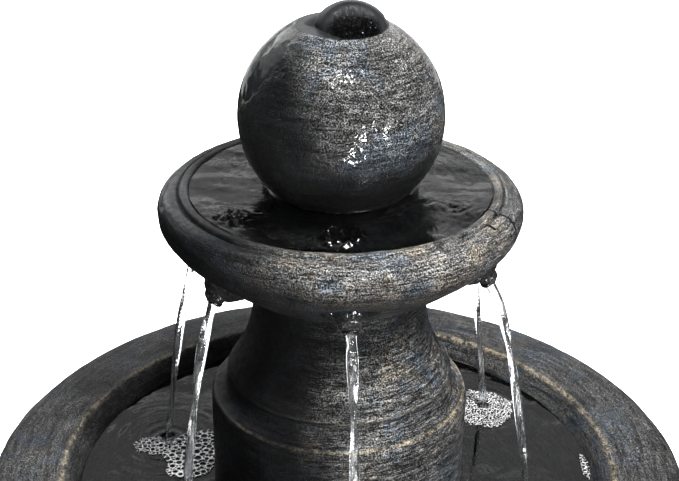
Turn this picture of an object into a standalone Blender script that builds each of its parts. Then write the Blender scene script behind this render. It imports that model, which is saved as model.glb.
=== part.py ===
"""Two-tier garden fountain with a ball on top, in cast stone, with its submersible pump.

Frame: metres, +Z up, origin on the ground under the middle of the pedestal.
-Y is the front, where one spout nearly faces, and +Y is the back, where the cord leaves.
"""

import math

import bmesh
import bpy
from mathutils import Matrix, Vector

# ---------------------------------------------------------------- driving dimensions, metres
GAP = 0.0003                    # clearance between pieces that touch

UPPER_WATER_Z = 0.6255          # brim of the upper bowl; the upper tier is dimensioned from it
LOWER_FLOOR_Z = 0.250           # inside floor of the lower bowl
LOWER_SEAT_Z = 0.236            # underside of the lower bowl, where the pedestal carries it
LOWER_SPIGOT_Z = 0.228          # bottom of the disc that drops into the pedestal
LOWER_SPIGOT_RADIUS = 0.098
LOWER_RIM_Z = 0.3625
LOWER_BOWL_RADIUS = 0.305
LOWER_INNER_RADIUS = 0.2417     # inner edge of the lower bowl's flat rim
LOWER_CREASE_RADIUS = 0.2816    # where the flat rim steps down to the rounded edge

COLUMN_RADIUS = 0.1092
COLUMN_BORE = 0.097
NECK_RADIUS = 0.072
NECK_BORE = 0.060
FLARE_RADIUS = 0.095
COLUMN_TOP_Z = UPPER_WATER_Z - 0.0843
FLARE_Z = UPPER_WATER_Z - 0.1655

UPPER_FLOOR_Z = UPPER_WATER_Z - 0.052
UPPER_CEILING_Z = UPPER_WATER_Z - 0.066   # underside of the upper bowl's floor, over the column
HUB_TOP_Z = UPPER_WATER_Z - 0.0163
HUB_RADIUS = 0.033
HUB_BORE = 0.0224

SPOUT_ANGLES_DEG = (3.8, 68.5, 126.0, 186.0, 245.0, 310.5)   # from -Y towards +X, set out by eye
SPOUT_TIP_RADIUS = 0.1283
SPOUT_TIP_Z = UPPER_WATER_Z - 0.0639
SPOUT_SLOPE_DEG = 52.0          # below the horizontal
SPOUT_LENGTH = 0.040
SPOUT_BORE = 0.0044
SPOUT_SHANK = 0.0056
SPOUT_HOLE = 0.0059
SPOUT_COLLAR = 0.0065
SPOUT_COLLAR_LENGTH = 0.0115

BALL_RADIUS = 0.0819
BALL_CENTRE_Z = UPPER_WATER_Z + 0.0607
BALL_BASE_Z = UPPER_WATER_Z - 0.016
BALL_HOLLOW = 0.068
BALL_BASE_HOLE = 0.022
CRATER_RADIUS = 0.036
CRATER_FLOOR_Z = 0.7475
CRATER_HOLE = 0.011

PIPE_RADIUS = 0.008
PIPE_BORE = 0.0062
PIPE_TOP_Z = 0.7490
BARB_RADIUS = 0.0068
BARB_BORE = 0.005
HOSE_RADIUS = 0.010
HOSE_BORE = 0.0073
HOSE_TOP_Z = UPPER_WATER_Z - 0.0845
BULKHEAD_STEM = 0.0119
BULKHEAD_HOLE = 0.0124

PUMP_AXIS_Z = LOWER_FLOOR_Z + 0.033
PUMP_HOUSING = (0.052, 0.0497, 0.0524)    # width, depth, height
PUMP_PLATE = 0.048                        # side of the square plate that carries the intake cover
CHAMBER_RADIUS = 0.022
CHAMBER_BORE = 0.018
CHAMBER_HALF = 0.012                      # half the chamber's depth, front to back
ROTOR_RADIUS = 0.0095
ROTOR_WELL = 0.011
ROTOR_WELL_END = 0.0523
SHAFT_RADIUS = 0.0016
SHAFT_BORE = 0.0019
COVER_DEPTH = 0.026
COVER_WALL = 0.002
OUTLET_RADIUS = 0.008
OUTLET_TOP_Z = PUMP_AXIS_Z + 0.046
DIAL_Y = -0.026
SUCTION_CUP_RADIUS = 0.007
SUCTION_CUP_HEIGHT = 0.0065

CORD_GROMMET_XY = (0.048, 0.054)
CORD_GROMMET_HOLE = 0.0083
DRAIN_XY = (0.0, 0.133)
DRAIN_HOLE = 0.0093

PEDESTAL_TOP_RADIUS = 0.120
PEDESTAL_TOP_BORE = 0.100
PEDESTAL_WAIST_RADIUS = 0.098
PEDESTAL_FLARE_RADIUS = 0.138
PEDESTAL_FOOT_RADIUS = 0.156
PEDESTAL_WALL = 0.014

BIG_SEGMENTS = 40               # round the bowls
MID_SEGMENTS = 32               # round the column, pedestal and ball
SMALL_SEGMENTS = 16             # round pipes and pump parts
TINY_SEGMENTS = 12


# ---------------------------------------------------------------- helpers
def clear_scene():
    for item in list(bpy.data.objects):
        bpy.data.objects.remove(item, do_unlink=True)


def make_material(name, colour, roughness, metallic=0.0):
    material = bpy.data.materials.new(name)
    material.use_nodes = True
    shader = material.node_tree.nodes["Principled BSDF"]
    shader.inputs["Base Color"].default_value = (*colour, 1.0)
    shader.inputs["Roughness"].default_value = roughness
    shader.inputs["Metallic"].default_value = metallic
    return material


def object_from_bmesh(name, mesh_data, material):
    bmesh.ops.recalc_face_normals(mesh_data, faces=mesh_data.faces[:])
    mesh = bpy.data.meshes.new(name)
    mesh_data.to_mesh(mesh)
    mesh_data.free()
    mesh.materials.append(material)
    mesh.shade_smooth()
    mesh.set_sharp_from_angle(angle=math.radians(30))
    item = bpy.data.objects.new(name, mesh)
    bpy.context.scene.collection.objects.link(item)
    return item


def bezier(start, handle_a, handle_b, end, steps):
    """Points along a cubic curve in a section, both ends included."""
    points = []
    for step in range(steps + 1):
        t = step / steps
        weights = ((1 - t) ** 3, 3 * t * (1 - t) ** 2, 3 * t * t * (1 - t), t ** 3)
        corners = (start, handle_a, handle_b, end)
        points.append(tuple(sum(w * c[axis] for w, c in zip(weights, corners)) for axis in (0, 1)))
    return points


def arc(centre, radius, start_deg, end_deg, steps):
    """Points along a circle in a section, both ends included."""
    points = []
    for step in range(steps + 1):
        angle = math.radians(start_deg + (end_deg - start_deg) * step / steps)
        points.append((centre[0] + radius * math.cos(angle), centre[1] + radius * math.sin(angle)))
    return points


def raised(points, height):
    """A section moved up by a height."""
    return [(r, z + height) for r, z in points]


def turned(name, section, segments, material):
    """A closed section of (radius, height) points turned about +Z."""
    mesh_data = bmesh.new()
    rings = []
    for radius, height in section:
        if radius < 1e-9:
            rings.append([mesh_data.verts.new((0.0, 0.0, height))])
            continue
        ring = []
        for step in range(segments):
            angle = math.tau * step / segments
            ring.append(mesh_data.verts.new((radius * math.cos(angle), radius * math.sin(angle), height)))
        rings.append(ring)
    for lower, upper in zip(rings, rings[1:] + rings[:1]):
        if len(lower) == 1 and len(upper) == 1:
            continue
        for step in range(segments):
            after = (step + 1) % segments
            if len(lower) == 1:
                mesh_data.faces.new((lower[0], upper[after], upper[step]))
            elif len(upper) == 1:
                mesh_data.faces.new((lower[step], lower[after], upper[0]))
            else:
                mesh_data.faces.new((lower[step], lower[after], upper[after], upper[step]))
    return object_from_bmesh(name, mesh_data, material)


def tube_section(inner, outer, bottom, top):
    return [(outer, bottom), (outer, top), (inner, top), (inner, bottom)]


def rod_section(radius, bottom, top):
    return [(0.0, bottom), (radius, bottom), (radius, top), (0.0, top)]


def prism(name, outline, depth, material):
    """An outline of (x, y) points pushed up +Z, centred on its own height."""
    mesh_data = bmesh.new()
    face = mesh_data.faces.new([mesh_data.verts.new((x, y, -depth / 2)) for x, y in outline])
    pushed = bmesh.ops.extrude_face_region(mesh_data, geom=[face])
    moved = [part for part in pushed["geom"] if isinstance(part, bmesh.types.BMVert)]
    bmesh.ops.translate(mesh_data, verts=moved, vec=(0.0, 0.0, depth))
    return object_from_bmesh(name, mesh_data, material)


def box(name, low, high, material):
    mesh_data = bmesh.new()
    bmesh.ops.create_cube(mesh_data, size=1.0)
    size = Vector(high) - Vector(low)
    middle = (Vector(high) + Vector(low)) / 2
    bmesh.ops.scale(mesh_data, verts=mesh_data.verts, vec=size)
    bmesh.ops.translate(mesh_data, verts=mesh_data.verts, vec=middle)
    return object_from_bmesh(name, mesh_data, material)


def ellipsoid(name, radii, material):
    mesh_data = bmesh.new()
    bmesh.ops.create_uvsphere(mesh_data, u_segments=TINY_SEGMENTS, v_segments=6, radius=1.0)
    bmesh.ops.scale(mesh_data, verts=mesh_data.verts, vec=radii)
    return object_from_bmesh(name, mesh_data, material)


def bevel(item, width, segments=2):
    modifier = item.modifiers.new("Rounded edges", "BEVEL")
    modifier.width = width
    modifier.segments = segments
    modifier.limit_method = "ANGLE"


def combine(item, tool, operation, solver="EXACT"):
    """Union or difference with a tool, which then stays in the file as a guide only."""
    modifier = item.modifiers.new(tool.name, "BOOLEAN")
    modifier.operation = operation
    modifier.solver = solver
    modifier.object = tool
    tool.hide_render = True
    tool.display_type = "WIRE"


def cut(item, tool, solver="EXACT"):
    combine(item, tool, "DIFFERENCE", solver)


def add(item, tool):
    combine(item, tool, "UNION")


def place(item, location, rotation=None):
    """Sets where a piece stands; rotation is a 3x3 or 4x4 matrix."""
    turn = rotation.to_4x4() if rotation is not None else Matrix.Identity(4)
    item.matrix_world = Matrix.Translation(Vector(location)) @ turn
    return item


def facing_front():
    """Turns a piece made along +Z so that it runs along -Y, the pump's axis."""
    return Matrix.Rotation(math.radians(90), 4, "X")


def around(angle_deg):
    """The turn about +Z that carries -Y round towards +X by an angle."""
    return Matrix.Rotation(math.radians(angle_deg), 4, "Z")


def assembly(name, location, pieces):
    """An empty on a moving group's joint axis, with the group's pieces parented to it."""
    holder = bpy.data.objects.new(name, None)
    holder.location = location
    bpy.context.scene.collection.objects.link(holder)
    for piece in pieces:
        piece.parent = holder
        piece.matrix_parent_inverse = Matrix.Translation(Vector(location)).inverted()


# ---------------------------------------------------------------- materials
def make_materials():
    return {
        "stone": make_material("cast_stone", (0.035, 0.036, 0.038), 0.45),
        "spout": make_material("spout_stone", (0.030, 0.031, 0.034), 0.35),
        "rubber": make_material("black_rubber", (0.020, 0.020, 0.021), 0.80),
        "hose": make_material("clear_hose", (0.70, 0.74, 0.74), 0.15),
        "pvc": make_material("grey_pipe", (0.32, 0.33, 0.34), 0.45),
        "plastic": make_material("pump_plastic", (0.018, 0.018, 0.020), 0.40),
        "dial": make_material("dial_plastic", (0.10, 0.22, 0.42), 0.40),
        "rotor": make_material("rotor_ferrite", (0.060, 0.060, 0.062), 0.55, 0.3),
        "impeller": make_material("impeller_plastic", (0.75, 0.74, 0.70), 0.40),
        "shaft": make_material("ceramic_shaft", (0.85, 0.85, 0.82), 0.20),
        "steel": make_material("clamp_steel", (0.60, 0.60, 0.58), 0.28, 1.0),
    }


# ---------------------------------------------------------------- cast pieces
def arch_outline(width, height, steps=8):
    """A doorway shape standing on y = 0, reaching a little below it."""
    half = width / 2
    below = -0.010
    return [(-half, below), (half, below)] + arc((0.0, height - half), half, 0, 180, steps)


def arch_cutter(name, width, height, depth, radius, base_z, angle_deg, material):
    """A doorway through a round wall, with its sill at base_z."""
    tool = prism(name, arch_outline(width, height), depth, material)
    centre = around(angle_deg) @ Vector((0.0, -radius, 0.0))
    return place(tool, (centre.x, centre.y, base_z), around(angle_deg) @ facing_front())


def make_pedestal(stone):
    """The hollow foot: plinth, ledge, concave waist and the top ring that carries the lower bowl."""
    top = LOWER_SEAT_Z - GAP
    flare_z = 0.076
    ledge_z = 0.060
    outer = [(PEDESTAL_FOOT_RADIUS, 0.0), (PEDESTAL_FOOT_RADIUS, ledge_z - 0.006)]
    outer += [(PEDESTAL_FOOT_RADIUS - 0.003, ledge_z), (PEDESTAL_FLARE_RADIUS + 0.003, ledge_z + 0.004)]
    outer += [(PEDESTAL_FLARE_RADIUS - 0.001, ledge_z + 0.009)]
    outer += bezier((PEDESTAL_FLARE_RADIUS, flare_z), (0.112, 0.105),
                    (PEDESTAL_WAIST_RADIUS - 0.004, 0.150), (PEDESTAL_WAIST_RADIUS, 0.192), 6)
    outer += [(0.108, top - 0.026), (PEDESTAL_TOP_RADIUS, top - 0.018), (PEDESTAL_TOP_RADIUS, top)]
    inner = [(PEDESTAL_TOP_BORE, top), (PEDESTAL_TOP_BORE, top - 0.016)]
    inner += [(PEDESTAL_WAIST_RADIUS - PEDESTAL_WALL, top - 0.034)]
    inner += [(PEDESTAL_WAIST_RADIUS - PEDESTAL_WALL, 0.150)]
    inner += [(PEDESTAL_FLARE_RADIUS - PEDESTAL_WALL, flare_z - 0.008)]
    inner += [(PEDESTAL_FOOT_RADIUS - PEDESTAL_WALL, 0.040), (PEDESTAL_FOOT_RADIUS - PEDESTAL_WALL, 0.0)]
    pedestal = turned("pedestal", outer + inner, MID_SEGMENTS, stone)
    wall_middle = PEDESTAL_FOOT_RADIUS - PEDESTAL_WALL / 2
    cut(pedestal, arch_cutter("cut_cord_notch", 0.024, 0.022, 0.040, wall_middle, 0.0, 180, stone))
    return pedestal


def make_lower_bowl(stone):
    """The wide basin: flat rim, sloping sides, and a low ring on its floor that centres the column."""
    underside_radius = 0.125
    outer = [(LOWER_SPIGOT_RADIUS, LOWER_SPIGOT_Z), (LOWER_SPIGOT_RADIUS, LOWER_SEAT_Z)]
    outer += bezier((underside_radius, LOWER_SEAT_Z), (0.190, 0.240), (0.262, 0.282), (0.288, 0.312), 5)
    outer += [(0.2985, 0.3260), (LOWER_BOWL_RADIUS - 0.0010, 0.3370), (LOWER_BOWL_RADIUS, 0.3470)]
    outer += [(LOWER_BOWL_RADIUS - 0.0015, 0.3545), (0.2985, 0.3590)]
    outer += [(LOWER_CREASE_RADIUS + 0.0012, LOWER_RIM_Z - 0.0014)]
    outer += [(LOWER_CREASE_RADIUS, LOWER_RIM_Z + 0.0003), (0.262, LOWER_RIM_Z + 0.0010)]
    outer += [(LOWER_INNER_RADIUS + 0.0012, LOWER_RIM_Z - 0.0002)]
    inner = bezier((LOWER_INNER_RADIUS - 0.0008, LOWER_RIM_Z - 0.0022), (0.226, 0.345),
                   (0.212, 0.262), (0.152, LOWER_FLOOR_Z), 6)
    ring_outer, ring_inner, ring_height = 0.0945, 0.0895, 0.004
    inner += [(ring_outer, LOWER_FLOOR_Z), (ring_outer, LOWER_FLOOR_Z + ring_height)]
    inner += [(ring_inner, LOWER_FLOOR_Z + ring_height), (ring_inner, LOWER_FLOOR_Z)]
    section = [(0.0, LOWER_SPIGOT_Z)] + outer + inner + [(0.0, LOWER_FLOOR_Z)]
    bowl = turned("lower_bowl", section, BIG_SEGMENTS, stone)
    for name, spot, radius in (("cut_cord_hole", CORD_GROMMET_XY, CORD_GROMMET_HOLE),
                               ("cut_drain_hole", DRAIN_XY, DRAIN_HOLE)):
        tool = turned(name, rod_section(radius, -0.040, 0.040), SMALL_SEGMENTS, stone)
        cut(bowl, place(tool, (*spot, LOWER_FLOOR_Z)))
    return bowl


def make_column(stone):
    """The hollow column that stands over the pump, open below, with four water inlets at its foot."""
    bottom = LOWER_FLOOR_Z + GAP
    ledge_z = UPPER_WATER_Z - 0.1844
    outer = [(COLUMN_RADIUS, bottom), (COLUMN_RADIUS, ledge_z - 0.008)]
    outer += [(COLUMN_RADIUS - 0.0008, ledge_z - 0.003), (COLUMN_RADIUS - 0.0027, ledge_z)]
    outer += [(0.1010, ledge_z + 0.0026), (0.0962, ledge_z + 0.0056), (0.0943, FLARE_Z - 0.0030)]
    outer += bezier((FLARE_RADIUS, FLARE_Z), (0.076, UPPER_WATER_Z - 0.138),
                    (NECK_RADIUS - 0.0015, UPPER_WATER_Z - 0.112), (NECK_RADIUS, COLUMN_TOP_Z), 7)
    inner = [(NECK_BORE, COLUMN_TOP_Z), (NECK_BORE, COLUMN_TOP_Z - 0.030)]
    inner += [(FLARE_RADIUS - 0.012, FLARE_Z - 0.006), (COLUMN_BORE, ledge_z - 0.014), (COLUMN_BORE, bottom)]
    column = turned("column", outer + inner, MID_SEGMENTS, stone)
    wall_middle = (COLUMN_RADIUS + COLUMN_BORE) / 2
    for index in range(4):
        tool = arch_cutter(f"cut_water_inlet_{index + 1}", 0.044, 0.034, 0.040,
                           wall_middle, bottom, 45 + 90 * index, stone)
        cut(column, tool)
    return column


def upper_bowl_section():
    """Outline of the upper bowl, heights relative to its brim."""
    seat_z = COLUMN_TOP_Z + GAP - UPPER_WATER_Z
    ceiling_z = UPPER_CEILING_Z - UPPER_WATER_Z
    floor_z = UPPER_FLOOR_Z - UPPER_WATER_Z
    hub_z = HUB_TOP_Z - UPPER_WATER_Z
    spigot_outer, spigot_inner, spigot_depth = 0.0592, 0.049, 0.008
    underside = [(BULKHEAD_HOLE, ceiling_z), (spigot_inner, ceiling_z)]
    underside += [(spigot_inner, seat_z - spigot_depth), (spigot_outer, seat_z - spigot_depth)]
    underside += [(spigot_outer, seat_z)]
    underside += bezier((0.0745, seat_z), (0.088, -0.079), (0.128, -0.048), (0.1392, -0.0350), 4)
    edge = bezier((0.1440, -0.0285), (0.1492, -0.0190), (0.1492, -0.0048), (0.1340, -0.0016), 6)
    brim = [(0.1304, -0.0028), (0.1286, 0.0014), (0.1255, 0.0020), (0.1222, -0.0005)]
    inside = bezier((0.1195, -0.0120), (0.1150, -0.0320), (0.1000, -0.0500), (0.0780, floor_z), 4)
    hub = [(0.0370, floor_z), (HUB_RADIUS, floor_z + 0.004), (HUB_RADIUS, hub_z), (HUB_BORE, hub_z)]
    middle = [(HUB_BORE, floor_z), (BULKHEAD_HOLE, floor_z)]
    return underside + edge + brim + inside + hub + middle


def spout_frame(angle_deg):
    """Where a spout's tip is, and the turn that points local +Z out along its bore."""
    tip = around(angle_deg) @ Vector((0.0, -SPOUT_TIP_RADIUS, SPOUT_TIP_Z))
    turn = around(angle_deg) @ Matrix.Rotation(math.radians(90 + SPOUT_SLOPE_DEG), 4, "X")
    return tip, turn


def make_upper_bowl(stone):
    """The upper bowl with a boss and a rib cast on its underside for each spout."""
    bowl = turned("upper_bowl", raised(upper_bowl_section(), UPPER_WATER_Z), BIG_SEGMENTS, stone)
    boss_radii, boss_at = (0.0130, 0.0118, 0.0105), (0.1190, -0.0495)
    rib_radii, rib_at = (0.0075, 0.0230, 0.0075), (0.1000, -0.0600)
    for index, angle in enumerate(SPOUT_ANGLES_DEG):
        for label, radii, (radius, height) in (("boss", boss_radii, boss_at), ("rib", rib_radii, rib_at)):
            lump = ellipsoid(f"add_{label}_{index + 1}", radii, stone)
            spot = around(angle) @ Vector((0.0, -radius, UPPER_WATER_Z + height))
            tilt = around(angle) @ Matrix.Rotation(math.radians(-35), 4, "X")
            add(bowl, place(lump, spot, tilt))
    collar_room, collar_seat = SPOUT_COLLAR + 0.0006, -SPOUT_COLLAR_LENGTH - GAP
    hole = [(0.0, -0.052), (SPOUT_HOLE, -0.052), (SPOUT_HOLE, collar_seat)]
    hole += [(collar_room, collar_seat), (collar_room, 0.012), (0.0, 0.012)]
    for index, angle in enumerate(SPOUT_ANGLES_DEG):
        tool = turned(f"cut_spout_hole_{index + 1}", hole, TINY_SEGMENTS, stone)
        cut(bowl, place(tool, *spout_frame(angle)), solver="MANIFOLD")
    return bowl


def make_spouts(material):
    collar = [(SPOUT_SHANK, -SPOUT_COLLAR_LENGTH), (SPOUT_COLLAR, -0.0030), (SPOUT_COLLAR - 0.0003, -0.0008)]
    collar += [(SPOUT_COLLAR - 0.0010, 0.0)]
    section = [(SPOUT_SHANK, -SPOUT_LENGTH)] + collar
    section += [(SPOUT_BORE, 0.0), (SPOUT_BORE, -SPOUT_LENGTH)]
    spouts = []
    for index, angle in enumerate(SPOUT_ANGLES_DEG):
        spout = turned(f"spout_{index + 1}", section, TINY_SEGMENTS, material)
        spouts.append(place(spout, *spout_frame(angle)))
    return spouts


def make_ball(stone):
    """A hollow ball on a flat base, with a dish in its top for the water to well up in."""
    base_deg = math.degrees(math.asin((BALL_BASE_Z - BALL_CENTRE_Z) / BALL_RADIUS))
    crater_deg = math.degrees(math.acos(CRATER_RADIUS / BALL_RADIUS))
    centre = (0.0, BALL_CENTRE_Z)
    section = arc(centre, BALL_RADIUS, base_deg, crater_deg, 12)
    section += [(CRATER_RADIUS - 0.0030, section[-1][1] - 0.0006), (0.0240, CRATER_FLOOR_Z + 0.0035)]
    section += [(0.0140, CRATER_FLOOR_Z), (CRATER_HOLE, CRATER_FLOOR_Z), (CRATER_HOLE, 0.7355)]
    hollow_start = math.degrees(math.acos(0.044 / BALL_HOLLOW))
    hollow_end = -math.degrees(math.acos(BALL_BASE_HOLE / BALL_HOLLOW))
    section += arc(centre, BALL_HOLLOW, hollow_start, hollow_end, 6)
    section += [(BALL_BASE_HOLE, BALL_BASE_Z)]
    return turned("ball", section, MID_SEGMENTS, stone)


# ---------------------------------------------------------------- water line
def make_crater_collar(rubber):
    flange_z = CRATER_FLOOR_Z + GAP
    bore = PIPE_RADIUS + GAP
    section = [(bore, flange_z - 0.014), (CRATER_HOLE - GAP, flange_z - 0.014)]
    section += [(CRATER_HOLE - GAP, flange_z), (0.0130, flange_z), (0.0135, flange_z + 0.0010)]
    section += [(0.0120, flange_z + 0.0020), (bore, flange_z + 0.0020)]
    return turned("crater_collar", section, SMALL_SEGMENTS, rubber)


def make_ball_pipe(pvc):
    bottom = UPPER_FLOOR_Z + 0.0093
    return turned("ball_pipe", tube_section(PIPE_BORE, PIPE_RADIUS, bottom, PIPE_TOP_Z), SMALL_SEGMENTS, pvc)


def barb_section(bottom, top):
    """Outside of a hose barb from bottom to top: three saw teeth, pointing to the bottom."""
    points = []
    tooth = (top - bottom) / 3
    for index in range(3):
        points.append((BARB_RADIUS - 0.0008, bottom + tooth * index))
        points.append((BARB_RADIUS, bottom + tooth * (index + 0.9)))
    return points


def make_bulkhead(plastic, rubber):
    gasket_z = UPPER_FLOOR_Z + GAP
    flange_z = gasket_z + 0.0024 + GAP
    flange_top = flange_z + 0.004
    socket_radius, socket_bore, socket_top = 0.0115, PIPE_RADIUS + GAP, flange_top + 0.014
    seat_z = UPPER_FLOOR_Z + 0.0090
    section = [(BARB_BORE, HOSE_TOP_Z - 0.022)]
    section += barb_section(HOSE_TOP_Z - 0.022, HOSE_TOP_Z)
    section += [(BARB_RADIUS - 0.0006, HOSE_TOP_Z + GAP), (BULKHEAD_STEM, HOSE_TOP_Z + GAP)]
    section += [(BULKHEAD_STEM, flange_z), (0.018, flange_z), (0.018, flange_top)]
    section += [(socket_radius, flange_top), (socket_radius, socket_top), (socket_bore, socket_top)]
    section += [(socket_bore, seat_z), (BARB_BORE, seat_z)]
    fitting = turned("bulkhead_fitting", section, SMALL_SEGMENTS, plastic)
    gasket = turned("bulkhead_gasket", tube_section(BULKHEAD_STEM + GAP, 0.018, gasket_z, gasket_z + 0.0024),
                    SMALL_SEGMENTS, rubber)
    nut_height = 0.010
    nut = prism("bulkhead_nut", arc((0.0, 0.0), 0.019, 0, 300, 5), nut_height, plastic)
    bore = turned("cut_nut_bore", rod_section(BULKHEAD_STEM + GAP, -0.02, 0.02), SMALL_SEGMENTS, plastic)
    nut_z = UPPER_CEILING_Z - GAP - nut_height / 2
    place(nut, (0.0, 0.0, nut_z))
    cut(nut, place(bore, (0.0, 0.0, nut_z)))
    return [fitting, gasket, nut]


def adapter_shoulder_z():
    """Top of the adapter's sleeve, where the hose stops."""
    return OUTLET_TOP_Z + 0.003


def make_riser_hose(material):
    bottom = adapter_shoulder_z() + GAP
    return turned("riser_hose", tube_section(HOSE_BORE, HOSE_RADIUS, bottom, HOSE_TOP_Z), SMALL_SEGMENTS, material)


def make_hose_clamp(steel):
    middle = HOSE_TOP_Z - 0.010
    inner, outer, half = HOSE_RADIUS + GAP, HOSE_RADIUS + 0.0013, 0.0045
    clamp = turned("hose_clamp", tube_section(inner, outer, middle - half, middle + half), SMALL_SEGMENTS, steel)
    screw = box("add_clamp_screw", (0.0108, -0.0065, middle - half), (0.0170, 0.0065, middle + half), steel)
    add(clamp, screw)
    return clamp


def make_cord_grommet(rubber):
    top, bottom = LOWER_FLOOR_Z + GAP, LOWER_SPIGOT_Z - GAP
    bore, body, flange, lip = 0.0035, CORD_GROMMET_HOLE - GAP, 0.0115, 0.002
    section = [(bore, bottom - lip), (flange, bottom - lip), (flange, bottom), (body, bottom)]
    section += [(body, top), (flange, top), (flange - 0.0008, top + lip), (bore, top + lip)]
    return place(turned("cord_grommet", section, SMALL_SEGMENTS, rubber), (*CORD_GROMMET_XY, 0.0))


def make_drain_plug(rubber):
    top = LOWER_FLOOR_Z + GAP
    section = [(0.0, top - 0.0100), (DRAIN_HOLE - 0.0011, top - 0.0100), (DRAIN_HOLE - GAP, top)]
    section += [(0.0115, top), (0.0115, top + 0.0030), (0.0035, top + 0.0035), (0.0030, top + 0.0080)]
    section += [(0.0052, top + 0.0100), (0.0052, top + 0.0130), (0.0, top + 0.0145)]
    plug = turned("drain_plug", raised(section, -top), SMALL_SEGMENTS, rubber)
    return place(plug, (*DRAIN_XY, top))


# ---------------------------------------------------------------- pump
def pump_turned(name, section, segments, material):
    """A piece turned about the pump's axis; its heights count towards the front, -Y."""
    return place(turned(name, section, segments, material), (0.0, 0.0, PUMP_AXIS_Z), facing_front())


def make_pump_housing(plastic):
    width, depth, height = PUMP_HOUSING
    front = CHAMBER_HALF + GAP
    bottom = LOWER_FLOOR_Z + SUCTION_CUP_HEIGHT + 2 * GAP
    housing = box("pump_housing", (-width / 2, front, bottom),
                  (width / 2, front + depth, bottom + height), plastic)
    bevel(housing, 0.004)
    well = pump_turned("cut_rotor_well", rod_section(ROTOR_WELL, -ROTOR_WELL_END, 0.0), SMALL_SEGMENTS, plastic)
    cut(housing, well)
    return housing


def make_pump_chamber(plastic):
    """The ring-shaped water chamber, its square front plate, its spider and its outlet."""
    back_wall = -CHAMBER_HALF + 0.004
    front_wall = CHAMBER_HALF - 0.003
    intake = 0.0085
    section = [(0.012, -CHAMBER_HALF), (CHAMBER_RADIUS, -CHAMBER_HALF), (CHAMBER_RADIUS, CHAMBER_HALF)]
    section += [(intake, CHAMBER_HALF), (intake, front_wall), (CHAMBER_BORE, front_wall)]
    section += [(CHAMBER_BORE, back_wall), (0.012, back_wall)]
    chamber = pump_turned("pump_chamber", section, SMALL_SEGMENTS, plastic)
    half = PUMP_PLATE / 2
    plate_thickness = 0.0027
    plate = prism("add_plate", [(-half, -half), (half, -half), (half, half), (-half, half)],
                  plate_thickness, plastic)
    plate_hole = turned("cut_plate_hole", rod_section(CHAMBER_RADIUS - 0.002, -0.01, 0.01),
                        SMALL_SEGMENTS, plastic)
    plate_spot = (0.0, -CHAMBER_HALF + 0.0015, PUMP_AXIS_Z)
    place(plate, plate_spot, facing_front())
    cut(plate, place(plate_hole, plate_spot, facing_front()))
    add(chamber, plate)
    for index in range(2):
        thickness = 0.0024 - 0.0003 * index
        bar = prism(f"add_spider_bar_{index + 1}", [(-0.012, -0.001), (0.012, -0.001), (0.012, 0.001),
                                                    (-0.012, 0.001)], thickness, plastic)
        turn = facing_front() @ Matrix.Rotation(math.radians(45 + 90 * index), 4, "Z")
        add(chamber, place(bar, plate_spot, turn))
    add(chamber, pump_turned("add_spider_hub", rod_section(0.0045, front_wall + 0.0001, CHAMBER_HALF - 0.0001),
                             TINY_SEGMENTS, plastic))
    cut(chamber, pump_turned("cut_front_bush_seat", rod_section(0.0034, 0.0, 0.02), TINY_SEGMENTS, plastic))
    outlet = turned("add_outlet", rod_section(OUTLET_RADIUS, PUMP_AXIS_Z + 0.0195, OUTLET_TOP_Z),
                    SMALL_SEGMENTS, plastic)
    add(chamber, outlet)
    bore = turned("cut_outlet_bore", rod_section(0.0055, PUMP_AXIS_Z + 0.010, OUTLET_TOP_Z + 0.01),
                  SMALL_SEGMENTS, plastic)
    cut(chamber, bore, solver="MANIFOLD")
    return chamber


def make_outlet_adapter(plastic):
    sleeve_bottom = OUTLET_TOP_Z - 0.012
    shoulder = adapter_shoulder_z()
    barb_top = shoulder + 0.020
    inner = OUTLET_RADIUS + GAP
    section = [(inner, sleeve_bottom), (inner + 0.0020, sleeve_bottom), (inner + 0.0020, shoulder)]
    teeth = [(r, shoulder + barb_top - z) for r, z in reversed(barb_section(shoulder, barb_top))]
    section += [(BARB_RADIUS - 0.0008, shoulder)] + teeth
    section += [(BARB_BORE, barb_top), (BARB_BORE, OUTLET_TOP_Z + GAP), (inner, OUTLET_TOP_Z + GAP)]
    return turned("outlet_adapter", section, SMALL_SEGMENTS, plastic)


def make_intake_cover(plastic):
    """A slotted box, open at the back, that clips to the front of the pump."""
    half = PUMP_PLATE / 2
    back = -CHAMBER_HALF - GAP
    front = back - COVER_DEPTH
    low, high = PUMP_AXIS_Z - half, PUMP_AXIS_Z + half
    cover = box("intake_cover", (-half, front, low), (half, back, high), plastic)
    bevel(cover, 0.0015)
    inside = box("cut_cover_inside", (-half + COVER_WALL, front + COVER_WALL, low + COVER_WALL),
                 (half - COVER_WALL, back + 0.01, high - COVER_WALL), plastic)
    cut(cover, inside)
    slot_half_width, slot_half_height, slot_pitch = 0.0013, 0.017, 0.0058
    for index in range(7):
        middle = (index - 3) * slot_pitch
        slot = box(f"cut_slot_{index + 1}", (middle - slot_half_width, front - 0.005, PUMP_AXIS_Z - slot_half_height),
                   (middle + slot_half_width, front + 0.006, PUMP_AXIS_Z + slot_half_height), plastic)
        cut(cover, slot)
    dial_hole = turned("cut_dial_hole", rod_section(0.0033, -0.006, 0.006), TINY_SEGMENTS, plastic)
    cut(cover, place(dial_hole, (0.0, DIAL_Y, high)))
    return cover


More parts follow.
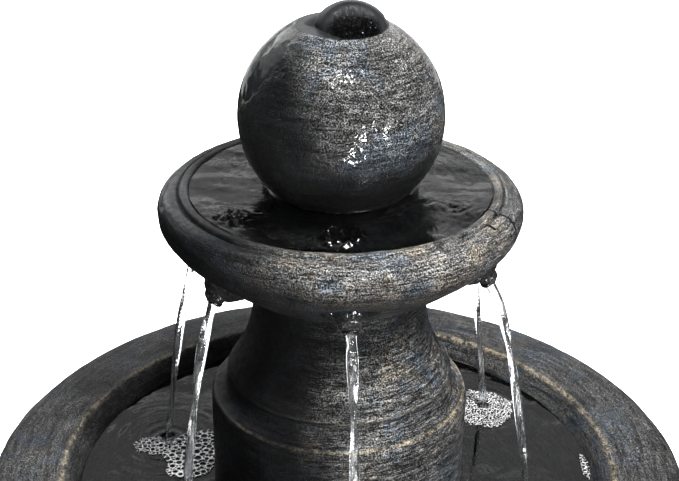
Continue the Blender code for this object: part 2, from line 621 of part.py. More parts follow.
def make_flow_dial(material):
    """A knob with a pointer ridge; its stem passes through the top of the intake cover."""
    top = PUMP_AXIS_Z + PUMP_PLATE / 2
    section = [(0.0, -0.0060), (0.0030, -0.0060), (0.0030, GAP), (0.0085, GAP), (0.0085, 0.0030)]
    section += [(0.0075, 0.0040), (0.0, 0.0040)]
    dial = place(turned("flow_dial", section, SMALL_SEGMENTS, material), (0.0, DIAL_Y, top))
    ridge = box("add_dial_ridge", (-0.0012, DIAL_Y - 0.0070, top + 0.0020),
                (0.0012, DIAL_Y + 0.0035, top + 0.0065), material)
    add(dial, ridge)
    return dial


def make_impeller(material):
    """Six straight blades on a thin disc, with a hub that meets the magnet."""
    hub_radius, blade_tip, half_thickness = 0.0050, 0.0150, 0.0008
    outline = []
    for index in range(6):
        turn = Matrix.Rotation(math.radians(60 * index), 2)
        root = math.sqrt(hub_radius ** 2 - half_thickness ** 2)
        corners = ((root, -half_thickness), (blade_tip, -half_thickness),
                   (blade_tip, half_thickness), (root, half_thickness))
        outline += [tuple(turn @ Vector(corner)) for corner in corners]
        outline.append(tuple(turn @ Vector((hub_radius * math.cos(math.radians(30)),
                                            hub_radius * math.sin(math.radians(30))))))
    impeller = prism("impeller", outline, 0.008, material)
    place(impeller, (0.0, 0.0, PUMP_AXIS_Z), facing_front())
    disc = pump_turned("add_impeller_disc", rod_section(0.0160, -0.0055, -0.0035), SMALL_SEGMENTS, material)
    hub = pump_turned("add_impeller_hub", rod_section(0.0046, -0.0080, -0.0030), TINY_SEGMENTS, material)
    bore = pump_turned("cut_impeller_bore", rod_section(SHAFT_BORE, -0.02, 0.02), TINY_SEGMENTS, material)
    add(impeller, disc)
    add(impeller, hub)
    cut(impeller, bore, solver="MANIFOLD")
    return impeller


def make_rotor_magnet(material):
    section = tube_section(SHAFT_BORE, ROTOR_RADIUS, -0.0465, -0.0080 - GAP)
    return pump_turned("rotor_magnet", section, SMALL_SEGMENTS, material)


def make_shaft_parts(shaft, rubber):
    rod = pump_turned("impeller_shaft", rod_section(SHAFT_RADIUS, -0.0515, 0.0115), TINY_SEGMENTS, shaft)
    front = pump_turned("shaft_bush_front", tube_section(SHAFT_BORE, 0.0031, CHAMBER_HALF - 0.003, CHAMBER_HALF),
                        TINY_SEGMENTS, rubber)
    rear = pump_turned("shaft_bush_rear", tube_section(SHAFT_BORE, ROTOR_WELL - GAP, -0.0520, -0.0475),
                       SMALL_SEGMENTS, rubber)
    return [rod, front, rear]


def make_cord_gland(plastic):
    """The hexagonal gland in the pump's back that its cord would enter by."""
    back = CHAMBER_HALF + GAP + PUMP_HOUSING[1] + GAP
    gland = prism("pump_cord_gland", arc((0.0, 0.0), 0.0075, 0, 300, 5), 0.010, plastic)
    spot = (0.0, back + 0.005, PUMP_AXIS_Z - 0.010)
    place(gland, spot, facing_front())
    bore = turned("cut_gland_bore", rod_section(0.0035, -0.02, 0.02), TINY_SEGMENTS, plastic)
    cut(gland, place(bore, spot, facing_front()))
    return gland


def make_suction_cups(rubber):
    bottom = LOWER_FLOOR_Z + GAP
    top = bottom + SUCTION_CUP_HEIGHT
    section = [(0.0, bottom + 0.0022), (0.0030, bottom + 0.0018), (SUCTION_CUP_RADIUS - 0.0008, bottom)]
    section += [(SUCTION_CUP_RADIUS, bottom + 0.0008), (0.0036, bottom + 0.0042), (0.0036, top), (0.0, top)]
    middle_y = CHAMBER_HALF + PUMP_HOUSING[1] / 2
    cups = []
    for index, (side, end) in enumerate(((-1, -1), (1, -1), (1, 1), (-1, 1))):
        cup = turned(f"suction_cup_{index + 1}", section, TINY_SEGMENTS, rubber)
        cups.append(place(cup, (0.018 * side, middle_y + 0.017 * end, 0.0)))
    return cups


# ---------------------------------------------------------------- the whole fountain
def main():
    clear_scene()
    paint = make_materials()
    stone, rubber, plastic = paint["stone"], paint["rubber"], paint["plastic"]

    make_pedestal(stone)
    lower_tier = [make_lower_bowl(stone), make_cord_grommet(rubber)]
    lower_tier += [make_pump_housing(plastic), make_pump_chamber(plastic), make_outlet_adapter(plastic)]
    lower_tier += make_shaft_parts(paint["shaft"], rubber)
    lower_tier += [make_cord_gland(plastic)] + make_suction_cups(rubber)
    upper_tier = [make_upper_bowl(stone)] + make_spouts(paint["spout"]) + make_bulkhead(plastic, rubber)
    upper_tier += [make_ball_pipe(paint["pvc"]), make_riser_hose(paint["hose"]), make_hose_clamp(paint["steel"])]

    assembly("lower_tier", (0.0, 0.0, LOWER_SEAT_Z), lower_tier)
    assembly("drain", (*DRAIN_XY, LOWER_FLOOR_Z), [make_drain_plug(rubber)])
    assembly("column_lift", (0.0, 0.0, LOWER_FLOOR_Z), [make_column(stone)])
    assembly("upper_tier", (0.0, 0.0, COLUMN_TOP_Z), upper_tier)
    assembly("ball_lift", (0.0, 0.0, BALL_BASE_Z), [make_ball(stone), make_crater_collar(rubber)])
    assembly("pump_front", (0.0, -CHAMBER_HALF, PUMP_AXIS_Z), [make_intake_cover(plastic)])
    assembly("dial_turn", (0.0, DIAL_Y, PUMP_AXIS_Z + PUMP_PLATE / 2), [make_flow_dial(paint["dial"])])
    assembly("rotor", (0.0, 0.0, PUMP_AXIS_Z), [make_impeller(paint["impeller"]), make_rotor_magnet(paint["rotor"])])


main()
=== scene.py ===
"""Looks of the two-tier ball fountain: cast stone, running water, foam and the pump inside."""
import math
import random

import bmesh
import bpy
from mathutils import Matrix, Vector, kdtree, noise


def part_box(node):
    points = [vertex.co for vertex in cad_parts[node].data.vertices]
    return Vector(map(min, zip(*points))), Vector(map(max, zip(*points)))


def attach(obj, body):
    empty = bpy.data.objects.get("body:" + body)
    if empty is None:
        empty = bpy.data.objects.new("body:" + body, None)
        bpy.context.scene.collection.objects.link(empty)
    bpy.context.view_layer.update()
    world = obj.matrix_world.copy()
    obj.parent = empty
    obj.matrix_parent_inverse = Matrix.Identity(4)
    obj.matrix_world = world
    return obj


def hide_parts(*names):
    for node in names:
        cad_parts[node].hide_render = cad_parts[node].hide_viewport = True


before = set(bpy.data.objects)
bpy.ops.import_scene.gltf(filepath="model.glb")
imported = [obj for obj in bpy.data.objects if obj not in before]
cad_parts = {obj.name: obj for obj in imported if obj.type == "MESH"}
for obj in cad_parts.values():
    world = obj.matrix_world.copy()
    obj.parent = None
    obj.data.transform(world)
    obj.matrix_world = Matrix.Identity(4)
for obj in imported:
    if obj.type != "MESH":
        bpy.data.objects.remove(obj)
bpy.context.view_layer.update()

# Sizes read from the frame, in metres
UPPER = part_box("upper_bowl")
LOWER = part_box("lower_bowl")
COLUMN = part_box("column")
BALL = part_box("ball")
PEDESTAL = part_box("pedestal")
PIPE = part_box("ball_pipe")

BRIM_Z = UPPER[1][2] - 0.002            # water brims at this height in the upper bowl
BALL_RADIUS = BALL[1][0]
BALL_CENTRE_Z = BRIM_Z + 0.0607
CRATER_RADIUS = 0.036
CRATER_FLOOR_Z = BALL[1][2] - 0.0123
HUB_TOP_Z = BALL[0][2] - 0.0003
UPPER_FLOOR_Z = BRIM_Z - 0.052
UPPER_POOL_RADIUS = 0.1218
LOWER_RIM_Z = LOWER[1][2] - 0.001
LOWER_RADIUS = LOWER[1][0]
LOWER_FLOOR_Z = COLUMN[0][2] - 0.0003
LOWER_SPIGOT_Z = LOWER[0][2]
LOWER_SEAT_Z = PEDESTAL[1][2] + 0.0003
LOWER_WATER_Z = LOWER_RIM_Z - 0.0165
LOWER_POOL_RADIUS = 0.2272
COLUMN_RADIUS = COLUMN[1][0]
COLUMN_TOP_Z = COLUMN[1][2]
PEDESTAL_RADIUS = PEDESTAL[1][0]
PIPE_RADIUS = PIPE[1][0]

# Where the ball stands out of the upper pool, and the heights of the steps in the column and pedestal
BALL_WATERLINE_RADIUS = math.sqrt(max(0.0, BALL_RADIUS ** 2 - (BALL_CENTRE_Z - BRIM_Z) ** 2))
COLUMN_LEDGE_Z = BRIM_Z - 0.1844
COLUMN_FLARE_Z = BRIM_Z - 0.1655
PEDESTAL_LEDGE_Z = 0.06
PEDESTAL_FLARE_Z = 0.076

SPOUT_ANGLES_DEG = (3.8, 68.5, 126.0, 186.0, 245.0, 310.5)
SPOUT_TIP_RADIUS = 0.1283
SPOUT_TIP_Z = BRIM_Z - 0.0639
SPOUT_SLOPE_DEG = 52.0

# How far out each stream lands from its spout, and how far it drifts sideways, front spout first
STREAM_REACH = (0.042, 0.046, 0.05, 0.04, 0.036, 0.04)
STREAM_DRIFT = (0.003, -0.002, 0.009, 0.000, 0.02, 0.002)

CAMERA_PLACE = (-0.0006, -1.0267, 1.0783)
CAMERA_PITCH_DEG = 26.062
CAMERA_ROLL_DEG = 0.462
CAMERA_LENS_MM = 73.9


# ---- sections and meshes
def bezier(start, handle_a, handle_b, end, steps):
    """Points along a cubic curve in a section, both ends included."""
    points = []
    for step in range(steps + 1):
        t = step / steps
        weights = ((1 - t) ** 3, 3 * t * (1 - t) ** 2, 3 * t * t * (1 - t), t ** 3)
        corners = (start, handle_a, handle_b, end)
        points.append(tuple(sum(w * c[axis] for w, c in zip(weights, corners)) for axis in (0, 1)))
    return points


def arc(centre, radius, start_deg, end_deg, steps):
    """Points along a circle in a section, both ends included."""
    points = []
    for step in range(steps + 1):
        angle = math.radians(start_deg + (end_deg - start_deg) * step / steps)
        points.append((centre[0] + radius * math.cos(angle), centre[1] + radius * math.sin(angle)))
    return points


def refined(section, spacing):
    """Adds points so that no side of a section is longer than the spacing."""
    points = []
    for (r0, z0), (r1, z1) in zip(section, section[1:] + section[:1]):
        pieces = max(1, math.ceil(math.hypot(r1 - r0, z1 - z0) / spacing))
        for step in range(pieces):
            t = step / pieces
            points.append((r0 + (r1 - r0) * t, z0 + (z1 - z0) * t))
    return points


def mesh_object(name, mesh_data, material, smooth_angle=40):
    """Makes an object of a bmesh, shaded smooth except at edges sharper than the angle."""
    bmesh.ops.recalc_face_normals(mesh_data, faces=mesh_data.faces[:])
    mesh = bpy.data.meshes.new(name)
    mesh_data.to_mesh(mesh)
    mesh_data.free()
    mesh.shade_smooth()
    mesh.set_sharp_from_angle(angle=math.radians(smooth_angle))
    item = bpy.data.objects.new(name, mesh)
    bpy.context.scene.collection.objects.link(item)
    item.data.materials.append(material)
    return item


def skin(mesh_data, rings):
    """Joins each ring of points to the next, and the last to the first. A ring may be one point."""
    for lower, upper in zip(rings, rings[1:] + rings[:1]):
        count = max(len(lower), len(upper))
        if count == 1:
            continue
        for step in range(count):
            after = (step + 1) % count
            corners = [lower[step % len(lower)], lower[after % len(lower)],
                       upper[after % len(upper)], upper[step % len(upper)]]
            mesh_data.faces.new(list(dict.fromkeys(corners)))


def tube(mesh_data, rings):
    """Joins each ring of points to the next, with a flat cap at each end."""
    for here, after in zip(rings, rings[1:]):
        for step in range(len(here)):
            following = (step + 1) % len(here)
            mesh_data.faces.new((here[step], here[following], after[following], after[step]))
    mesh_data.faces.new(rings[0])
    mesh_data.faces.new(rings[-1])


def turned_ring(mesh_data, radius, height, segments):
    """A level ring of points, or one point on the axis. The height may be a function of x and y."""
    ring = []
    for step in range(segments if radius > 1e-9 else 1):
        x = radius * math.cos(math.tau * step / segments)
        y = radius * math.sin(math.tau * step / segments)
        ring.append(mesh_data.verts.new((x, y, height(x, y) if callable(height) else height)))
    return ring


def turned(name, section, segments, material):
    """A closed section of (radius, height) points turned about +Z."""
    mesh_data = bmesh.new()
    skin(mesh_data, [turned_ring(mesh_data, radius, height, segments) for radius, height in section])
    return mesh_object(name, mesh_data, material)


def roughen(item, size, depth, seed, octaves=4):
    """Moves a mesh's points in and out by fractal noise, as a casting comes out of its mould."""
    shift = Vector((seed * 7.13, seed * 3.71, seed * 5.37))
    mesh = item.data
    normals = [vertex.normal.copy() for vertex in mesh.vertices]
    for vertex, normal in zip(mesh.vertices, normals):
        value = noise.fractal(vertex.co / size + shift, 1.0, 2.0, octaves)
        vertex.co = vertex.co + normal * value * depth
    mesh.update()


def around(angle_deg):
    """The turn about +Z that carries -Y round towards +X by an angle."""
    return Matrix.Rotation(math.radians(angle_deg), 4, "Z")


def spout_matrix(angle_deg):
    """Puts the origin at a spout's tip, with local +Z out along its bore."""
    tip = around(angle_deg) @ Vector((0.0, -SPOUT_TIP_RADIUS, SPOUT_TIP_Z))
    turn = around(angle_deg) @ Matrix.Rotation(math.radians(90 + SPOUT_SLOPE_DEG), 4, "X")
    return Matrix.Translation(tip) @ turn


# ---- material helpers
class Nodes:
    """Short names for building one material's node tree."""

    def __init__(self, name):
        self.material = bpy.data.materials.new(name)
        self.material.use_nodes = True
        self.tree = self.material.node_tree
        self.shader = self.tree.nodes["Principled BSDF"]
        self.place = self.add("ShaderNodeTexCoord").outputs["Object"]

    def add(self, kind, **settings):
        node = self.tree.nodes.new(kind)
        for key, value in settings.items():
            setattr(node, key, value)
        return node

    def link(self, source, target):
        """Feeds an input from a socket, or sets it where the source is a plain value."""
        if hasattr(source, "is_linked"):
            self.tree.links.new(source, target)
        else:
            target.default_value = source

    def fill(self, node, **values):
        for key, value in values.items():
            self.link(value, node.inputs[key.replace("_", " ")])

    def math(self, operation, first, second=0.0):
        node = self.add("ShaderNodeMath", operation=operation)
        self.link(first, node.inputs[0])
        self.link(second, node.inputs[1])
        return node.outputs[0]

    def times(self, first, second):
        return self.math("MULTIPLY", first, second)

    def plus(self, first, second):
        return self.math("ADD", first, second)

    def minus(self, first, second):
        return self.math("SUBTRACT", first, second)

    def hypot(self, first, second):
        return self.math("SQRT", self.plus(self.times(first, first), self.times(second, second)))

    def vector(self, operation, source, value=(0.0, 0.0, 0.0)):
        node = self.add("ShaderNodeVectorMath", operation=operation)
        self.link(source, node.inputs[0])
        node.inputs[1].default_value = value
        return node

    def coordinates(self):
        split = self.add("ShaderNodeSeparateXYZ")
        self.link(self.place, split.inputs[0])
        return split.outputs

    def joined(self, *parts):
        node = self.add("ShaderNodeCombineXYZ")
        for source, target in zip(parts, node.inputs):
            self.link(source, target)
        return node.outputs[0]

    def noise(self, size, detail=3.0, roughness=0.55, place=None, distortion=0.0):
        node = self.add("ShaderNodeTexNoise")
        self.fill(node, Vector=place or self.place, Scale=1.0 / size, Detail=detail, Roughness=roughness,
                  Distortion=distortion)
        return node.outputs["Fac"]

    def wander(self, size, detail, roughness, width):
        """Noise about zero, for a line that wanders within a width."""
        return self.times(self.minus(self.noise(size, detail, roughness), 0.5), width)

    def cells(self, size):
        node = self.add("ShaderNodeTexVoronoi")
        self.fill(node, Vector=self.place, Scale=1.0 / size)
        return node.outputs["Distance"]

    def ramp(self, value, low, high, out_low=0.0, out_high=1.0):
        """A smooth step: out_low up to low, out_high from high on."""
        node = self.add("ShaderNodeMapRange", interpolation_type="SMOOTHSTEP")
        self.fill(node, Value=value, From_Min=low, From_Max=high, To_Min=out_low, To_Max=out_high)
        return node.outputs["Result"]

    def mix(self, factor, first, second):
        """From the first colour to the second as the factor goes from 0 to 1."""
        node = self.add("ShaderNodeMix", data_type="RGBA")
        self.link(factor, node.inputs["Factor"])
        self.link((*first, 1.0) if isinstance(first, tuple) else first, node.inputs["A"])
        self.link((*second, 1.0) if isinstance(second, tuple) else second, node.inputs["B"])
        return node.outputs["Result"]

    def shifted(self, offset):
        """The place moved by a fixed amount, for a noise that differs from its neighbours."""
        return self.vector("ADD", self.place, offset).outputs[0]

    def beyond(self, direction, distance, width):
        """Rises to 1 past a wavy line, at a distance along a direction from the origin."""
        along = self.vector("DOT_PRODUCT", self.place, Vector(direction).normalized()).outputs["Value"]
        wavy = self.plus(along, self.wander(0.028, 5.0, 0.6, 0.034))
        return self.ramp(wavy, distance, distance + width)

    def crack(self, polar, angle_deg, inner_radius, outer_radius):
        """A hairline that wanders outwards across a ring, at an angle from the front towards +X."""
        x, y, _ = self.coordinates()
        angle = math.radians(angle_deg)
        off_line = self.plus(self.times(x, math.cos(angle)), self.times(y, math.sin(angle)))
        off_line = self.plus(off_line, self.wander(0.012, 4.0, 0.7, 0.007))
        near = self.ramp(self.math("ABSOLUTE", off_line), 0.0005, 0.002, 1.0, 0.0)
        past_inner = self.ramp(polar[0], inner_radius, inner_radius + 0.001)
        before_outer = self.ramp(polar[0], outer_radius - 0.001, outer_radius, 1.0, 0.0)
        ahead = self.minus(self.times(x, math.sin(angle)), self.times(y, math.cos(angle)))
        in_ring = self.times(near, self.times(past_inner, before_outer))
        return self.times(in_ring, self.ramp(ahead, 0.0, 0.01))

    def polar(self):
        """(radius, height) of the point about the fountain's axis."""
        x, y, z = self.coordinates()
        return self.hypot(x, y), z

    def brushed(self, radius, length, width, detail=4.0, slant=0.0):
        """Streaks of that length and width drawn out along the turning direction, tilted by a slant."""
        x, y, z = self.coordinates()
        tilted = self.plus(z, self.times(x, -slant))
        drawn = self.joined(self.times(x, 1.0 / length), self.times(y, 1.0 / length),
                            self.times(tilted, 1.0 / width))
        node = self.add("ShaderNodeTexNoise", noise_dimensions="4D")
        self.fill(node, Vector=drawn, W=self.times(radius, 1.0 / width), Scale=1.0, Detail=detail,
                  Roughness=0.6)
        return node.outputs["Fac"]

    def near_ring(self, polar, ring_radius, ring_height, width):
        """1 on a ring about the axis, falling to 0 at the width from it."""
        away = self.hypot(self.minus(polar[0], ring_radius), self.minus(polar[1], ring_height))
        return self.ramp(away, 0.0, width, 1.0, 0.0)

    def bump(self, height, distance, strength=1.0):
        node = self.add("ShaderNodeBump")
        self.fill(node, Strength=strength, Distance=distance, Height=height)
        return node.outputs["Normal"]

    def set(self, **values):
        self.fill(self.shader, **values)
        return self.material


# The stone's own colours, then what is brushed on its high grain, and the gold on its worn edges
INK = (0.0028, 0.003, 0.0034)
SLATE = (0.011, 0.012, 0.014)
BLUE_GREY = (0.026, 0.036, 0.052)
BRONZE = (0.05, 0.035, 0.019)
BLUE_FLECK = (0.36, 0.405, 0.45)
PALE_FLECK = (0.43, 0.43, 0.425)
GOLD_FLECK = (0.47, 0.41, 0.31)
GOLD = (0.36, 0.31, 0.225)


def cast_stone(name, edges=(), gold=0.5, shine=0.5, paint=0.6, grainy=0.5, film=None, cracks=(), calm=None,
               dark=(), slant=0.0):
    """Charcoal cast stone whose high grain is dry-brushed in pale grey, blue-grey and bronze.

    grainy trades brush strokes for speckle. film is how much running water glazes the stone where it lies
    smooth and where it is rough. calm is where it lies smooth: a direction from the axis, how far along it
    that starts and over what width. dark lists in the same way where shade is painted on: there the pale
    brushing, the bronze and most of the gilt are taken off, so that the side away from the key light reads
    darker. slant tilts the brush strokes.
    """
    n = Nodes(name)
    polar = n.polar()
    patches = n.noise(0.042, 4.0, 0.6, distortion=0.8)
    blue_patches = n.noise(0.036, 4.0, 0.6, place=n.shifted((0.31, 0.17, 0.05)), distortion=0.8)
    streaks = n.brushed(polar[0], 0.034, 0.0034, slant=slant)
    fine_streaks = n.brushed(polar[0], 0.009, 0.0011, 3.0, slant)
    grain = n.noise(0.0011, 3.0, 0.75)
    coarse_grain = n.noise(0.005, 4.0, 0.7)
    pits = n.cells(0.005)
    rough_here = n.minus(1.0, n.beyond(*calm)) if calm else 1.0
    # Painted shade: this mask falls to 0 in the zones listed in dark, on the side and underside away from
    # the key light.
    outside_painted_shade = 1.0
    for zone in dark:
        outside_painted_shade = n.times(n.minus(1.0, n.beyond(*zone)), outside_painted_shade)
    in_bronze = n.ramp(patches, 0.52, 0.62)
    in_blue = n.ramp(blue_patches, 0.51, 0.62)

    ridge = n.times(grain, 0.44 + 0.3 * grainy)
    ridge = n.plus(ridge, n.times(fine_streaks, 0.44 - 0.3 * grainy))
    ridge = n.plus(ridge, n.times(coarse_grain, 0.12))
    caught = n.ramp(ridge, 0.445, 0.622)
    caught = n.times(caught, n.ramp(patches, 0.34, 0.6, 0.6, 1.0))
    caught = n.times(caught, n.ramp(streaks, 0.36, 0.56, 0.45, 1.0))
    caught = n.times(n.times(caught, paint), rough_here)
    # Painted shade: no pale brushing in the shade zones.
    caught = n.times(caught, outside_painted_shade)
    tint = n.mix(n.times(in_blue, 0.85), PALE_FLECK, BLUE_FLECK)
    gilded = n.times(n.times(in_bronze, n.ramp(streaks, 0.44, 0.54)), gold)
    tint = n.mix(gilded, tint, GOLD_FLECK)

    colour = n.mix(n.ramp(streaks, 0.42, 0.66), INK, SLATE)
    colour = n.mix(n.times(in_blue, 0.22), colour, BLUE_GREY)
    # Painted shade: no bronze in the shade zones either.
    colour = n.mix(n.times(n.times(in_bronze, outside_painted_shade), 0.6 * gold), colour, BRONZE)
    colour = n.mix(caught, colour, tint)
    for ring_radius, ring_height, width, strength in edges:
        worn = n.near_ring(polar, ring_radius, ring_height, width)
        broken = n.times(worn, n.ramp(coarse_grain, 0.4, 0.56, 0.06, 1.0))
        broken = n.times(broken, n.ramp(grain, 0.38, 0.58, 0.25, 1.0))
        broken = n.times(broken, n.ramp(patches, 0.32, 0.54, 0.3, 1.0))
        # Painted shade: the gilt on the worn edges is dimmed in the shade zones.
        broken = n.times(broken, n.ramp(outside_painted_shade, 0.0, 1.0, 0.2, 1.0) if dark else 1.0)
        colour = n.mix(n.times(broken, strength), colour, GOLD)

    height = n.times(ridge, 2.6)
    height = n.plus(height, n.times(streaks, 0.3))
    height = n.plus(height, n.ramp(pits, 0.0, 0.3, -0.35, 0.0))
    height = n.times(height, n.ramp(rough_here, 0.0, 1.0, 0.2, 1.0) if calm else 1.0)
    for angle_deg, inner_radius, outer_radius in cracks:
        line = n.crack(polar, angle_deg, inner_radius, outer_radius)
        colour = n.mix(line, colour, (0.002, 0.002, 0.002))
        height = n.minus(height, n.times(line, 2.0))
    values = {"Base_Color": colour, "Normal": n.bump(height, 0.0014, 1.0), "Specular_IOR_Level": shine,
              "Roughness": n.ramp(coarse_grain, 0.35, 0.65, 0.46, 0.64)}
    if film:
        ripples = n.noise(0.009, 2.0, 0.55, distortion=0.8)
        broken = n.times(ripples, n.ramp(rough_here, 0.0, 1.0, 0.1, 1.0) if calm else 1.0)
        values["Coat_Normal"] = n.bump(broken, 0.0009, 1.0)
        values["Coat_Roughness"] = 0.07
        values["Coat_IOR"] = 1.45
        values["Coat_Weight"] = n.ramp(rough_here, 0.0, 1.0, *film) if calm else film[1]
    return n.set(**values)


def water_material(name, tint, roughness=0.02, ripple=0.0, size=0.006, level=0.5):
    """Water, as dark as its depth over black stone makes it look."""
    n = Nodes(name)
    swirl = n.noise(size, 3.0, distortion=0.8)
    values = {"Base_Color": n.mix(swirl, tint, tuple(min(1.0, c * 1.08) for c in tint)),
              "Roughness": n.ramp(swirl, 0.3, 0.7, roughness * 0.6, roughness * 1.5 + 0.004),
              "IOR": 1.333, "Transmission_Weight": 1.0, "Specular_IOR_Level": level}
    if ripple:
        values["Normal"] = n.bump(swirl, ripple, 1.0)
    return n.set(**values)


def stream_material():
    """Falling water: clear, with milky threads drawn out along the fall."""
    n = Nodes("water_falling")
    x, y, z = n.coordinates()
    threads = n.noise(0.0016, 2.0, place=n.joined(x, y, n.times(z, 0.05)))
    milky = n.ramp(threads, 0.5, 0.66)
    colour = n.mix(milky, (0.7, 0.72, 0.74), (0.9, 0.91, 0.92))
    return n.set(Base_Color=colour, Roughness=n.ramp(threads, 0.3, 0.7, 0.06, 0.12), IOR=1.333,
                 Transmission_Weight=n.ramp(milky, 0.0, 1.0, 0.98, 0.84),
                 Normal=n.bump(threads, 0.0003, 0.6))


def foam_material():
    """Grey-white foam, mottled and faintly pitted."""
    n = Nodes("foam_white")
    spots = n.noise(0.0014, 3.0)
    colour = n.mix(n.ramp(spots, 0.35, 0.65), (0.2, 0.203, 0.206), (0.38, 0.384, 0.39))
    return n.set(Base_Color=colour, Roughness=n.ramp(spots, 0.3, 0.7, 0.3, 0.5),
                 Normal=n.bump(spots, 0.0003, 0.6))


def moulded(name, colour, roughness, texture=0.0008, depth=0.0001, **extra):
    """Moulded plastic or rubber: spark texture, slight mottling and dust."""
    n = Nodes(name)
    spark = n.noise(texture, 3.0, 0.6)
    dust = n.noise(0.012, 4.0, 0.6)
    pale = tuple(min(1.0, c * 1.6 + 0.012) for c in colour)
    mottled = n.mix(n.ramp(dust, 0.45, 0.75, 0.0, 0.55), colour, pale)
    mottled = n.mix(n.ramp(spark, 0.6, 0.8, 0.0, 0.35), mottled, pale)
    rough = n.ramp(dust, 0.3, 0.7, roughness * 0.85, min(1.0, roughness * 1.2))
    return n.set(Base_Color=mottled, Roughness=rough, Normal=n.bump(spark, depth, 0.7), **extra)


def brushed_metal(name, colour):
    """Bare metal with fine turned lines and dull stains."""
    n = Nodes(name)
    lines = n.brushed(n.polar()[0], 0.02, 0.0003, 3.0)
    stain = n.noise(0.006, 3.0)
    tone = n.mix(n.ramp(stain, 0.45, 0.75, 0.0, 0.6), colour, tuple(c * 0.62 for c in colour))
    return n.set(Base_Color=tone, Metallic=1.0, Roughness=n.ramp(lines, 0.3, 0.7, 0.18, 0.42),
                 Normal=n.bump(lines, 0.00006, 0.8))


def floor_material():
    """The studio's white sweep, which glows a little by itself."""
    n = Nodes("studio_floor")
    haze = n.noise(0.9, 2.0)
    return n.set(Base_Color=n.mix(haze, (0.93, 0.93, 0.93), (0.96, 0.96, 0.96)), Roughness=0.7,
                 Emission_Color=(1.0, 1.0, 1.0, 1.0), Emission_Strength=0.55)


# ---- stone pieces
def make_upper_bowl(material):
    """Tapered underside, round edge, grooved and banded brim, inside and hub."""
    brim, floor = BRIM_Z, UPPER_FLOOR_Z
    seat, ceiling = COLUMN_TOP_Z + 0.0003, brim - 0.066
    under = [(0.0126, ceiling), (0.049, ceiling), (0.049, seat - 0.008), (0.059, seat - 0.008)]
    under += [(0.059, seat)]
    under += bezier((0.0745, seat), (0.088, brim - 0.079), (0.128, brim - 0.048), (0.1392, brim - 0.035),
        34)
    edge = bezier((0.1396, brim - 0.0345), (0.1496, brim - 0.024), (0.1518, brim - 0.004),
        (0.1345, brim - 0.0013), 42)
    groove = bezier((0.1332, brim - 0.001), (0.132, brim - 0.001), (0.1314, brim - 0.0026),
        (0.1308, brim - 0.0026), 5)
    band = bezier((0.1303, brim - 0.0022), (0.1298, brim + 0.0008), (0.1286, brim + 0.0012),
        (0.127, brim + 0.0014), 6)
    band += bezier((0.125, brim + 0.0014), (0.1232, brim + 0.001), (0.1222, brim + 0.0004),
        (0.1214, brim - 0.003), 6)
    inside = bezier((0.1205, brim - 0.008), (0.115, brim - 0.032), (0.1, brim - 0.05), (0.078, floor), 18)
    hub = [(0.04, floor), (0.0335, brim - 0.049), (0.033, HUB_TOP_Z - 0.001), (0.032, HUB_TOP_Z)]
    hub += [(0.0228, HUB_TOP_Z), (0.0225, HUB_TOP_Z - 0.0004), (0.0225, floor), (0.0126, floor)]
    section = refined(under + edge + groove + band + inside + hub, 0.0045)
    bowl = turned("upper_bowl_casting", section, 320, material)
    roughen(bowl, 0.03, 0.0005, 1)
    roughen(bowl, 0.0065, 0.00016, 2)
    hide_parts("upper_bowl")
    return bowl


def make_ball(material):
    """A hollow ball with a dish in its top, a hole for the pipe and an open base."""
    centre = (0.0, BALL_CENTRE_Z)
    base_z = BALL[0][2]
    base_deg = math.degrees(math.asin((base_z - BALL_CENTRE_Z) / BALL_RADIUS))
    crater_deg = math.degrees(math.acos((CRATER_RADIUS + 0.0012) / BALL_RADIUS))
    outer = arc(centre, BALL_RADIUS, base_deg, crater_deg, 110)
    rim_r, rim_z = outer[-1]
    floor = CRATER_FLOOR_Z
    dish = bezier((rim_r - 0.001, rim_z + 0.0003), (0.0325, rim_z - 0.0002), (0.024, floor + 0.001),
        (0.014, floor), 16)
    inner = [(0.011, floor), (0.011, floor - 0.012)]
    inner += arc(centre, 0.068, 50, -71, 24) + [(0.0222, base_z)]
    ball = turned("ball_casting", refined(outer + dish + inner, 0.006), 288, material)
    roughen(ball, 0.034, 0.0006, 3)
    roughen(ball, 0.006, 0.00014, 4)
    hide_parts("ball")
    return ball


def make_column(material):
    """Plain cylinder, ledge, riser, flare and neck, hollow, with four water inlets."""
    bottom, top, ledge, flare = COLUMN[0][2], COLUMN_TOP_Z, COLUMN_LEDGE_Z, COLUMN_FLARE_Z
    outer = [(COLUMN_RADIUS, bottom), (COLUMN_RADIUS, ledge - 0.012)]
    outer += bezier((COLUMN_RADIUS, ledge - 0.008), (COLUMN_RADIUS, ledge - 0.0035),
        (COLUMN_RADIUS - 0.0012, ledge - 0.0004), (COLUMN_RADIUS - 0.0034, ledge), 7)
    outer += bezier((0.1045, ledge + 0.0004), (0.1, ledge + 0.0024), (0.0958, ledge + 0.004),
        (0.0945, flare - 0.006), 9)
    outer += bezier((0.0943, flare - 0.0045), (0.0942, flare - 0.0015), (0.0958, flare - 0.0008),
        (0.0948, flare + 0.001), 5)
    outer += bezier((0.0936, flare + 0.003), (0.0765, BRIM_Z - 0.138), (0.0705, BRIM_Z - 0.112),
        (0.072, top), 40)
    inner = [(0.06, top), (0.06, top - 0.03), (0.083, flare - 0.006), (0.097, ledge - 0.014)]
    inner += [(0.097, bottom)]
    column = turned("column_casting", refined(outer + inner, 0.0042), 288, material)
    roughen(column, 0.032, 0.0006, 5)
    roughen(column, 0.0065, 0.00016, 6)
    for index in range(4):
        cut_arch(column, 0.044, 0.034, (COLUMN_RADIUS + 0.097) / 2, bottom, 45 + 90 * index)
    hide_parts("column")
    return column


